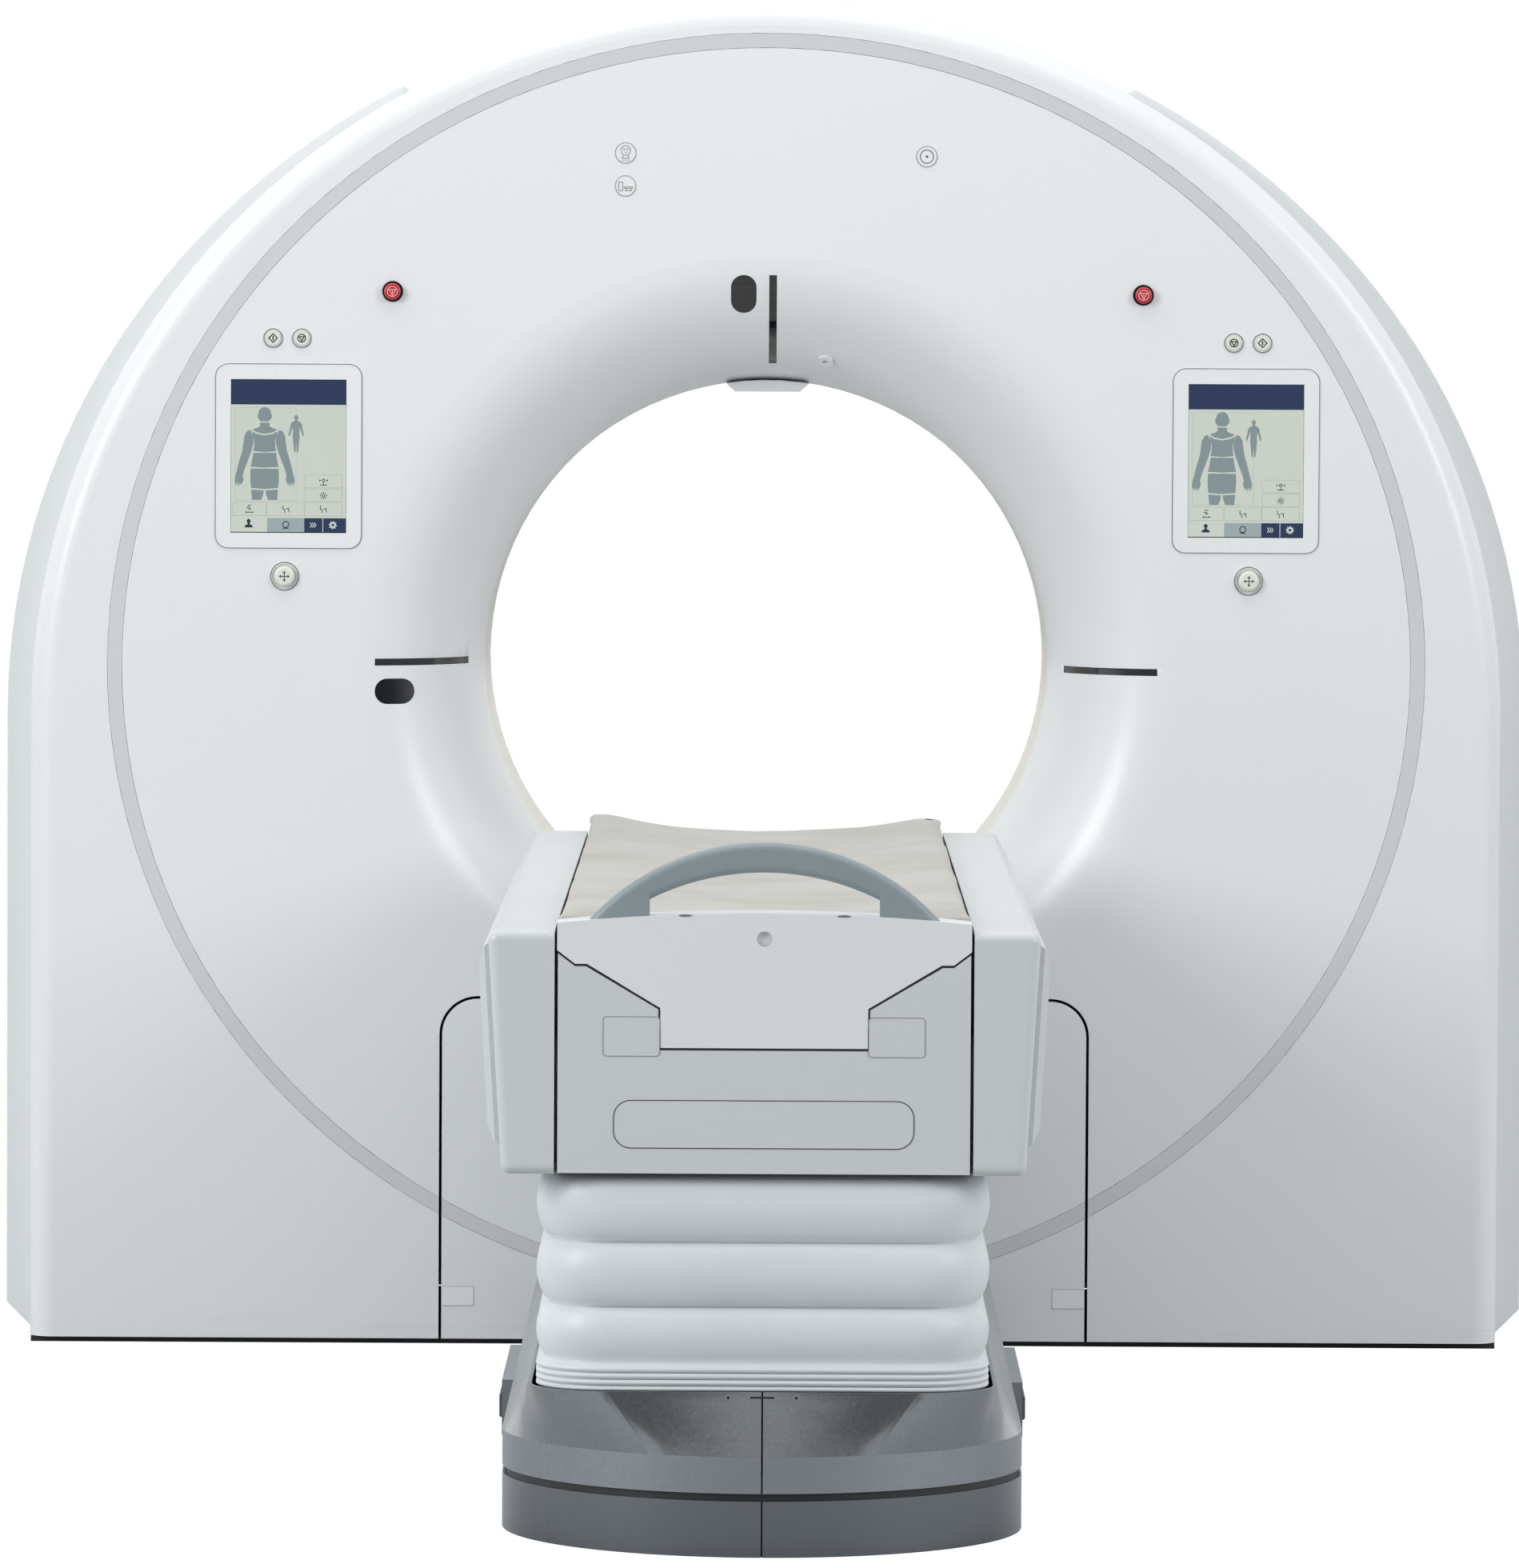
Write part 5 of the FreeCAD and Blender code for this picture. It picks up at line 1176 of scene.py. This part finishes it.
class SCANNER_OT_mattress(bpy.types.Operator):
    """Build the thin vinyl mattress in the cradle's hollow"""
    bl_idname = "scanner.mattress"
    bl_label = "Mattress"

    def execute(self, context):
        sizes, s = context.scene.scanner_sizes, context.scene.scanner_soft
        low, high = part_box("mattress")
        half = high.x
        foot_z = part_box("cradle")[1].z + PAD_GAP
        thick = high.z - foot_z
        dip = foot_z - low.z
        columns, rows = PAD_GRID

        def profile(t, span):
            """Rounded edge: 0 on the rim, 1 a rim's width inside it."""
            inside = (1 - abs(t)) * span
            return math.sqrt(max(0.0, 1 - (1 - min(1.0, inside / PAD_RIM)) ** 2))

        def spread(i, count):
            """Positions from -1 to 1, closer together near the ends."""
            t = 2 * i / count - 1
            return math.copysign(1 - (1 - abs(t)) ** 1.35, t)

        maker = bmesh.new()
        sheets = []
        span_y = (high.y - low.y) / 2
        inset = 1.0 * MM
        for face in (1, -1):
            sheet = []
            for j in range(rows + 1):
                v = spread(j, rows)
                row = []
                for i in range(columns + 1):
                    u = spread(i, columns)
                    x, y = u * half, (low.y + high.y) / 2 + v * (span_y - inset)
                    swell = profile(u, half) * profile(v, span_y)
                    z = valley(x, half, foot_z,
                               dip) + thick / 2 + face * (thick / 2 - 1.2 * MM) * swell
                    row.append(maker.verts.new((x, y, z)))
                sheet.append(row)
            sheets.append(sheet)
        for sheet in sheets:
            for j in range(rows):
                for i in range(columns):
                    maker.faces.new((sheet[j][i], sheet[j][i + 1], sheet[j + 1][i + 1],
                                     sheet[j + 1][i]))
        bmesh.ops.remove_doubles(maker, verts=maker.verts, dist=0.05 * MM)
        vinyl = Finish("mattress_vinyl", Specular_IOR_Level=0.45)
        skin = vinyl.effect("Vinyl Grain", Colour=s.vinyl, Crease=s.vinyl_crease, Cell_Size=0.0022,
                            Patch_Size=0.22)
        matt = vinyl.effect("Moulded Surface", Colour=skin.outputs["Colour"],
                            Shade=skin.outputs["Colour"],
                            Cloud_Size=0.08, Grain_Size=0.002, Roughness=0.46, Spread=0.16)
        vinyl.feed("Base Color", skin.outputs["Colour"]).feed("Roughness",
                                                              matt.outputs["Roughness"])
        vinyl.bump(skin.outputs["Height"], 0.00018, 0.5)
        pad = new_piece("mattress_pad", maker, [vinyl.material], None)
        remesh = pad.modifiers.new("Even", "REMESH")
        remesh.mode = "VOXEL"
        remesh.voxel_size = sizes.pad_voxel
        shaped = pad.evaluated_get(context.evaluated_depsgraph_get())
        even = bpy.data.meshes.new_from_object(shaped)
        pad.modifiers.remove(remesh)
        pad.data = even
        puff(pad, 4.0, 0.02, sizes.pad_swell)
        self.wrinkle(pad, sizes, half, foot_z, dip, thick, low, high)
        smooth(pad)
        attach(pad, "tabletop")
        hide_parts("mattress")
        return {"FINISHED"}

    def wrinkle(self, pad, sizes, half, foot_z, dip, thick, low, high):
        """Soft folds on the top, curled rear corners, and an underside that rests on the cradle."""
        height, lip = sizes.wrinkle_height, foot_z + 2.5 * MM
        for vertex in pad.data.vertices:
            x, y, z = vertex.co
            across = max(-half, min(half, x))
            bed = valley(across, half, foot_z, dip)
            above = (z - bed) / thick
            if above > 0.3:
                broad = noise.noise(Vector((x * 2.6 + y * 1.3, y * 3.4 - x * 2.0, 0.3)))
                crease = 1 - abs(noise.noise(Vector((x * 5.0 + y * 2.2, y * 2.6, 2.9)))) * 2
                fine = noise.noise(Vector((x * 14.0 + y * 6.0, y * 15.0, 4.7)))
                fold = 0.9 * broad + 0.5 * max(0.0, crease) ** 5 + 0.16 * fine
                z += height * fold * min(1.0, (above - 0.3) * 2)
            for side, share in ((-1, 1.0), (1, 0.65)):
                beside = (side * half - x) / (55 * MM)
                behind = (high.y - y) / (220 * MM)
                z += sizes.corner_rise * share * math.exp(-beside ** 2 - behind ** 2)
            z += 3.0 * MM * (abs(across) / half) ** 8 * noise.noise(Vector((y * 4.0, 7.1 * (x > 0),
                                                                            1.3)))
            z = max(z, bed + PAD_GAP)
            room = half + (PAD_OVERLAP if z > lip else PAD_SNUG)
            vertex.co = (max(-room, min(room, x * (1 + 0.05 * (abs(across) / half) ** 4))),
                         min(max(y, low.y), high.y), z)
        pad.data.update()


STRAP_WIDTH = 18 * MM
STRAP_LENGTH = 14 * MM  # over the mattress
STRAP_PLACE = 70 * MM   # from the mattress's rear end


class SCANNER_OT_mattress_straps(bpy.types.Operator):
    """Add the strap at each of the mattress's rear corners"""
    bl_idname = "scanner.mattress_straps"
    bl_label = "Mattress Straps"

    def execute(self, context):
        s = context.scene.scanner_soft
        low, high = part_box("mattress")
        web = moulded("strap_web", s.strap, 1.6, roughness=0.7, cloud=0.01,
                      grain_size=0.0012, depth=0.0004)
        for side, name in ((-1, "left"), (1, "right")):
            maker = bmesh.new()
            x = side * (high.x - 1.0 * MM)
            wide, y, steps = STRAP_WIDTH / 2, high.y - STRAP_PLACE, 10
            rings = []
            for k in range(steps + 1):
                t = k / steps
                turn = math.pi * t
                px = x - side * (STRAP_LENGTH * (1 - t)) + side * 2.2 * MM * math.sin(turn)
                pz = high.z + 1.6 * MM * (1 - t) + 0.9 * MM - 18 * MM * max(0.0, t - 0.5)
                rings.append([maker.verts.new((px + dx, y + dy, pz + dz)) for dx, dy, dz in
                              ((0, -wide, 0), (0, wide, 0), (side * 0.6 * MM, wide, 1.2 * MM),
                               (side * 0.6 * MM, -wide, 1.2 * MM))])
            join_rings(maker, rings)
            maker.faces.new(rings[0])
            maker.faces.new(rings[-1][::-1])
            strap = new_piece(f"mattress_strap_{name}", maker, [web], "tabletop")
            soften = strap.modifiers.new("Soft Edges", "BEVEL")
            soften.width, soften.segments = 0.4 * MM, 2
        return {"FINISHED"}


BELLOWS_CORNER = 85 * MM
FOLD_LEVELS = (0.4446, 0.364, 0.2876, 0.2187)
PLEAT_LEVELS = (0.2187, 0.2110, 0.2033, 0.1956, 0.1884)


def rounded_loop(half_x, y0, y1, corner, count):
    """Points evenly round a rounded rectangle, with the way out at each."""
    width, depth = 2 * (half_x - corner), (y1 - y0) - 2 * corner
    arc = math.pi * corner / 2
    total = 2 * (width + depth) + 4 * arc
    centres = [(half_x - corner, y0 + corner, -90), (half_x - corner, y1 - corner, 0),
               (corner - half_x, y1 - corner, 90), (corner - half_x, y0 + corner, 180)]
    lengths = [depth, width, depth, width]
    points = []
    for k in range(count):
        s = total * k / count
        for (cx, cy, start), run in zip(centres, lengths):
            if s < arc:
                a = math.radians(start) + s / corner
                out = (math.cos(a), math.sin(a))
                points.append(((cx + corner * out[0], cy + corner * out[1]), out))
                break
            s -= arc
            if s < run:
                a = math.radians(start + 90)
                out = (math.cos(a), math.sin(a))
                along = (-out[1], out[0])
                points.append(((cx + corner * out[0] + along[0] * s,
                                cy + corner * out[1] + along[1] * s), out))
                break
            s -= run
    return points


class SCANNER_OT_bellows(bpy.types.Operator):
    """Build the folded bellows between the couch and its base"""
    bl_idname = "scanner.bellows"
    bl_label = "Bellows"

    def execute(self, context):
        sizes, s = context.scene.scanner_sizes, context.scene.scanner_soft
        low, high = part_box("bellows")
        loop = rounded_loop(high.x, low.y, high.y, BELLOWS_CORNER, 300)
        profile = self.profile(sizes)
        maker = bmesh.new()
        rings = []
        for z, inset in profile:
            ring = []
            for k, ((x, y), (ox, oy)) in enumerate(loop):
                ripple = 0.6 * MM * noise.noise(Vector((x * 9, y * 9, z * 40)))
                reach = inset - min(ripple, inset)
                ring.append(maker.verts.new((x - ox * reach, y - oy * reach, z)))
            rings.append(ring)
        join_rings(maker, rings + rings[:1])
        cloth = Finish("bellows_fabric", Sheen_Weight=0.15, Sheen_Roughness=0.5)
        surface = cloth.effect("Moulded Surface", Colour=s.bellows, Shade=s.bellows_fold,
                               Cloud_Size=0.25,
                               Grain_Size=0.002, Roughness=0.42, Spread=0.12)
        weave = cloth.effect("Fine Weave", Thread=0.0009)
        cloth.surface(surface).bump(weave.outputs["Height"], 0.00008, 0.5)
        bellows = smooth(new_piece("bellows_folds", maker, [cloth.material], None))
        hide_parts("bellows")
        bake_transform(bellows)
        return {"FINISHED"}

    def profile(self, sizes):
        """Heights and insets down the outside of the fabric and back up its inside."""
        outside = []
        for top, foot in zip(FOLD_LEVELS, FOLD_LEVELS[1:]):
            for k in range(14):
                t = k / 14
                bulge = math.sin(math.pi * t ** 0.9) ** 0.5
                outside.append((top + (foot - top) * t, sizes.fold_depth * (1 - bulge)))
        for top, foot in zip(PLEAT_LEVELS, PLEAT_LEVELS[1:]):
            for k in range(6):
                t = k / 6
                bulge = math.sin(math.pi * t) ** 0.5
                outside.append((top + (foot - top) * t, sizes.pleat_depth * (1 - bulge)))
        outside.append((PLEAT_LEVELS[-1], sizes.pleat_depth))
        inside = [(z, inset + sizes.fabric_wall) for z, inset in reversed(outside)]
        return outside + inside


# ---------------------------------------------------------------- small fittings

SNAP_FOOT, SNAP_TOP, SNAP_REACH, SNAP_EDGE = 46 * MM, 74 * MM, 46 * MM, 0.8 * MM
SCREW_SPREAD, SCREW_DROP = 40 * MM, 6 * MM
SCREW_DISCS = ((4.2 * MM, 1.2 * MM, 0), (1.8 * MM, 1.5 * MM, 1))    # radius, how far out, material
TAB_SPREAD = 93 * MM
PLUG_HEIGHT, PLUG_RADIUS = 723 * MM, 10.5 * MM
# left half of the dark strip in the gap round the end cap's notch, a painted shadow, in millimetres
NOTCH = ((-242.6, 707.2), (-222.5, 691.5), (-208.4, 691.5), (-123.0, 640.6), (-123.0, 593.2))
# outlines on the end cover: middle, width, height, corner in millimetres, and material
HATCH_OUTLINES = ((0, 505, 352, 56, 20, 0), (-155.5, 608, 66, 46, 4, 1), (155.5, 608, 66, 46, 4, 1))


class SCANNER_OT_small_fittings(bpy.types.Operator):
    """Add the snap plates, screws, hatch outlines, and the end cap's tabs, painted gap shadow and
    plug
    """
    bl_idname = "scanner.small_fittings"
    bl_label = "Small Fittings"

    def execute(self, context):
        c, m = context.scene.scanner_covers, context.scene.scanner_metals
        white = bpy.data.materials["cover_white"]
        line = moulded("shadow_line", times(c.gantry_shade, 0.45), times(c.gantry_shade, 0.5),
                       roughness=0.6, cloud=0.01)
        low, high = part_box("dock_cover")
        front = front_of("dock_cover")
        maker = bmesh.new()
        for side in (-1, 1):
            inner, outer = side * (high.x - SNAP_REACH), side * (high.x - 1.5 * MM)
            foot, top = low.z + SNAP_FOOT, low.z + SNAP_TOP
            edges = [(outer, top), (inner, top), (inner, foot), (outer, foot)]
            solid_shape(maker, edges[::side], front, 0.25 * MM, 1)
            inner += side * SNAP_EDGE
            foot, top = foot + SNAP_EDGE, top - SNAP_EDGE
            plate = [(outer, top), (inner, top), (inner, foot), (outer, foot)]
            solid_shape(maker, plate[::side], front, 0.6 * MM, 0)
        new_piece("dock_snap_plates", maker, [white, line], "gantry")

        steel = machined("fastener_steel", m.steel, roughness=0.25, pitch=0.004)
        dark = moulded("slot_dark", m.rubber, 1.3, roughness=0.6, cloud=0.004)
        base_front = front_of("base_cover_right")
        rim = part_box("base_cover_right")[1].z - SCREW_DROP
        maker = bmesh.new()
        y = base_front(SCREW_SPREAD, rim)
        for x in (-SCREW_SPREAD, SCREW_SPREAD):
            for radius, depth, index in SCREW_DISCS:
                solid_shape(maker, circle(x, rim, radius, 24), lambda a, b: y, depth, index)
        solid_shape(maker, moved([(-14, -1.2), (14, -1.2), (14, 1.2), (-14, 1.2)], 0, rim, MM),
                    lambda a, b: base_front(6 * MM, rim), 0.6 * MM, 1)
        new_piece("base_rim_screws", maker, [steel, dark], "gantry")

        maker = bmesh.new()
        cap_low, cap_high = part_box("end_cap")
        for x in (-TAB_SPREAD, TAB_SPREAD):
            top = cap_high.z - 12 * MM * (x / cap_high.x) ** 2
            solid_shape(maker, oval(x, top - 1.0 * MM, 8 * MM, 1.3 * MM, 24),
                        lambda a, b: cap_low.y + 4 * MM, 4.6 * MM, 0)
        new_piece("end_cap_tabs", maker, [steel], "tabletop")

        self.seams(context, c, cap_low)
        maker = bmesh.new()
        behind = cap_low.y + 9 * MM
        solid_shape(maker, circle(0, PLUG_HEIGHT, PLUG_RADIUS), lambda a, b: behind, 4 * MM, 0)
        new_piece("end_cap_plug", maker, [bpy.data.materials["cap_white"]], "tabletop")
        return {"FINISHED"}

    def seams(self, context, c, cap_low):
        """Dark strip in the gap round the end cap's notch, which is painted shadow, and outlines of
        the hatches below it.
        """
        relief = context.scene.scanner_sizes.mark_relief
        black = moulded("seam_black", c.gap_shadow_and_seam_line, 1.2, roughness=0.6, cloud=0.01)
        faint = moulded("hatch_line", c.faint_line, 1.1, roughness=0.6, cloud=0.01)
        # painted shadow: a dark strip set into the gap round the end cap's notch, where there is
        # only shade
        notch = moved([*NOTCH, *((-x, z) for x, z in reversed(NOTCH))], 0, 0, MM)
        maker = bmesh.new()
        stroke(maker, notch, 2.2 * MM, lambda a, b: cap_low.y + 4 * MM, 3.4 * MM, 0)
        new_piece("end_cap_seal", maker, [black], "couch")
        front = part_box("end_hatches")[0].y
        maker = bmesh.new()
        for x, z, wide, tall, corner, index in HATCH_OUTLINES:
            loop = rounded_loop(wide / 2 * MM, (z - tall / 2) * MM, (z + tall / 2) * MM,
                                corner * MM, 160)
            stroke(maker, [(x * MM + a, b) for (a, b), way in loop], (0.9 - 0.2 * index) * MM,
                   lambda a, b: front, relief, index, closed=True)
        new_piece("hatch_outlines", maker, [black, faint], "couch")


# ---------------------------------------------------------------- studio

FLOOR_DROP = 1 * MM     # so that the floor plates don't lie in the floor's own plane


class SCANNER_OT_studio(bpy.types.Operator):
    """Set up the pale floor, the white surroundings, the soft lights and the camera"""
    bl_idname = "scanner.studio"
    bl_label = "Studio"

    def execute(self, context):
        settings = context.scene.scanner_studio
        context.scene.view_settings.view_transform = "Standard"
        self.floor(settings)
        self.surroundings(context, settings)
        self.lights(settings)
        self.camera(context, settings)
        return {"FINISHED"}

    def floor(self, settings):
        half = settings.floor_span / 2
        mesh = bpy.data.meshes.new("floor")
        spots = [(-half, -half, 0), (half, -half, 0), (half, half, 0), (-half, half, 0)]
        mesh.from_pydata(spots, [], [(0, 1, 2, 3)])
        floor = bpy.data.objects.new("floor", mesh)
        bpy.context.scene.collection.objects.link(floor)
        pale = Finish("pale_floor", Base_Color=tuple(settings.floor_tone), Roughness=0.9,
                      Specular_IOR_Level=0.1)
        tree = pale.tree
        glow = tree.nodes.new("ShaderNodeEmission")
        for_camera(tree, glow.outputs[0], pale.shader.outputs[0],
                   tree.nodes["Material Output"].inputs["Surface"])
        mesh.materials.append(pale.material)
        floor.location.z = -FLOOR_DROP

    def surroundings(self, context, settings):
        """White all round, dimmer straight behind the camera."""
        world = bpy.data.worlds.new("Studio")
        context.scene.world = world
        world.use_nodes = True
        tree = world.node_tree
        back = tree.nodes["Background"]
        back.inputs["Color"].default_value = (1, 1, 1, 1)
        toward = tree.nodes.new("ShaderNodeVectorMath")
        toward.operation = "DOT_PRODUCT"
        toward.inputs[1].default_value = (0, -1, 0)
        tree.links.new(tree.nodes.new("ShaderNodeTexCoord").outputs["Generated"], toward.inputs[0])
        fade = tree.nodes.new("ShaderNodeMapRange")
        fade.interpolation_type = "SMOOTHSTEP"
        for label, value in (("From Min", 0.25), ("From Max", 0.88), ("To Min", settings.sky),
                             ("To Max", settings.front_dim)):
            fade.inputs[label].default_value = value
        tree.links.new(toward.outputs["Value"], fade.inputs["Value"])
        tree.links.new(fade.outputs["Result"], back.inputs["Strength"])
        plain = tree.nodes.new("ShaderNodeBackground")
        plain.inputs["Color"].default_value = (1, 1, 1, 1)
        for_camera(tree, plain.outputs[0], back.outputs[0],
                   tree.nodes["World Output"].inputs["Surface"])

    def lights(self, settings):
        """Soft boxes on both sides, and a long one above the front of the gantry."""
        lamps = (("key", (-5.5, -6.0, 3.6), (2.2, 3.4), settings.key_power),
                 ("fill", (5.5, -6.0, 3.6), (2.2, 3.4), settings.fill_power),
                 ("overhead", (-0.3, -1.6, 4.4), (5.0, 1.4), settings.overhead_power))
        target = Vector((0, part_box("front_cover")[0].y, settings.overhead_aim))
        for name, spot, size, power in lamps:
            lamp = bpy.data.lights.new(name, "AREA")
            lamp.shape, lamp.energy = "RECTANGLE", power
            lamp.size, lamp.size_y = size
            holder = bpy.data.objects.new(name, lamp)
            holder.location = spot
            holder.rotation_euler = (target - holder.location).to_track_quat("-Z", "Y").to_euler()
            bpy.context.scene.collection.objects.link(holder)

    def camera(self, context, settings):
        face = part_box("front_cover")[0].y
        data = bpy.data.cameras.new("camera")
        data.lens, data.sensor_width = settings.lens, 36
        data.clip_end = 200
        camera = bpy.data.objects.new("camera", data)
        camera.location = (0, face - settings.distance, settings.eye_height)
        aim = Vector((settings.aim_side, face, settings.aim_height))
        facing = (aim - camera.location).to_track_quat("-Z", "Y")
        camera.rotation_euler = (facing @ Euler((0, 0, settings.roll)).to_quaternion()).to_euler()
        context.scene.collection.objects.link(camera)
        context.scene.camera = camera


# ---------------------------------------------------------------- sidebar and registration

OPERATORS = (
    SCANNER_OT_gantry_covers, SCANNER_OT_couch_covers, SCANNER_OT_base_covers, SCANNER_OT_frames,
    SCANNER_OT_rotor_parts, SCANNER_OT_windows, SCANNER_OT_controls, SCANNER_OT_control_marks,
    SCANNER_OT_control_outlines, SCANNER_OT_lamp_marks, SCANNER_OT_screens, SCANNER_OT_mattress,
    SCANNER_OT_mattress_straps,
    SCANNER_OT_bellows, SCANNER_OT_small_fittings, SCANNER_OT_studio,
)


class SCANNER_PT_panel(bpy.types.Panel):
    """List of the scanner's pieces and settings"""
    bl_label = "CT Scanner"
    bl_idname = "SCANNER_PT_panel"
    bl_space_type = "VIEW_3D"
    bl_region_type = "UI"
    bl_category = PANEL_TAB

    def draw(self, context):
        for operator in OPERATORS:
            self.layout.operator(operator.bl_idname)
        for name in SETTINGS:
            box = self.layout.box()
            group = getattr(context.scene, name)
            for field in group.__annotations__:
                box.prop(group, field)


def register():
    """Registers the settings, operators and panel."""
    for name, group in SETTINGS.items():
        bpy.utils.register_class(group)
        setattr(bpy.types.Scene, name, bpy.props.PointerProperty(type=group))
    for cls in (*OPERATORS, SCANNER_PT_panel):
        bpy.utils.register_class(cls)


def unregister():
    """Removes the panel, operators and settings."""
    for cls in (SCANNER_PT_panel, *reversed(OPERATORS)):
        bpy.utils.unregister_class(cls)
    for name, group in SETTINGS.items():
        delattr(bpy.types.Scene, name)
        bpy.utils.unregister_class(group)


def main():
    """Builds every piece and the studio."""
    register()
    for operator in OPERATORS:
        family, action = operator.bl_idname.split(".")
        getattr(getattr(bpy.ops, family), action)()


if __name__ == "__main__":
    main()
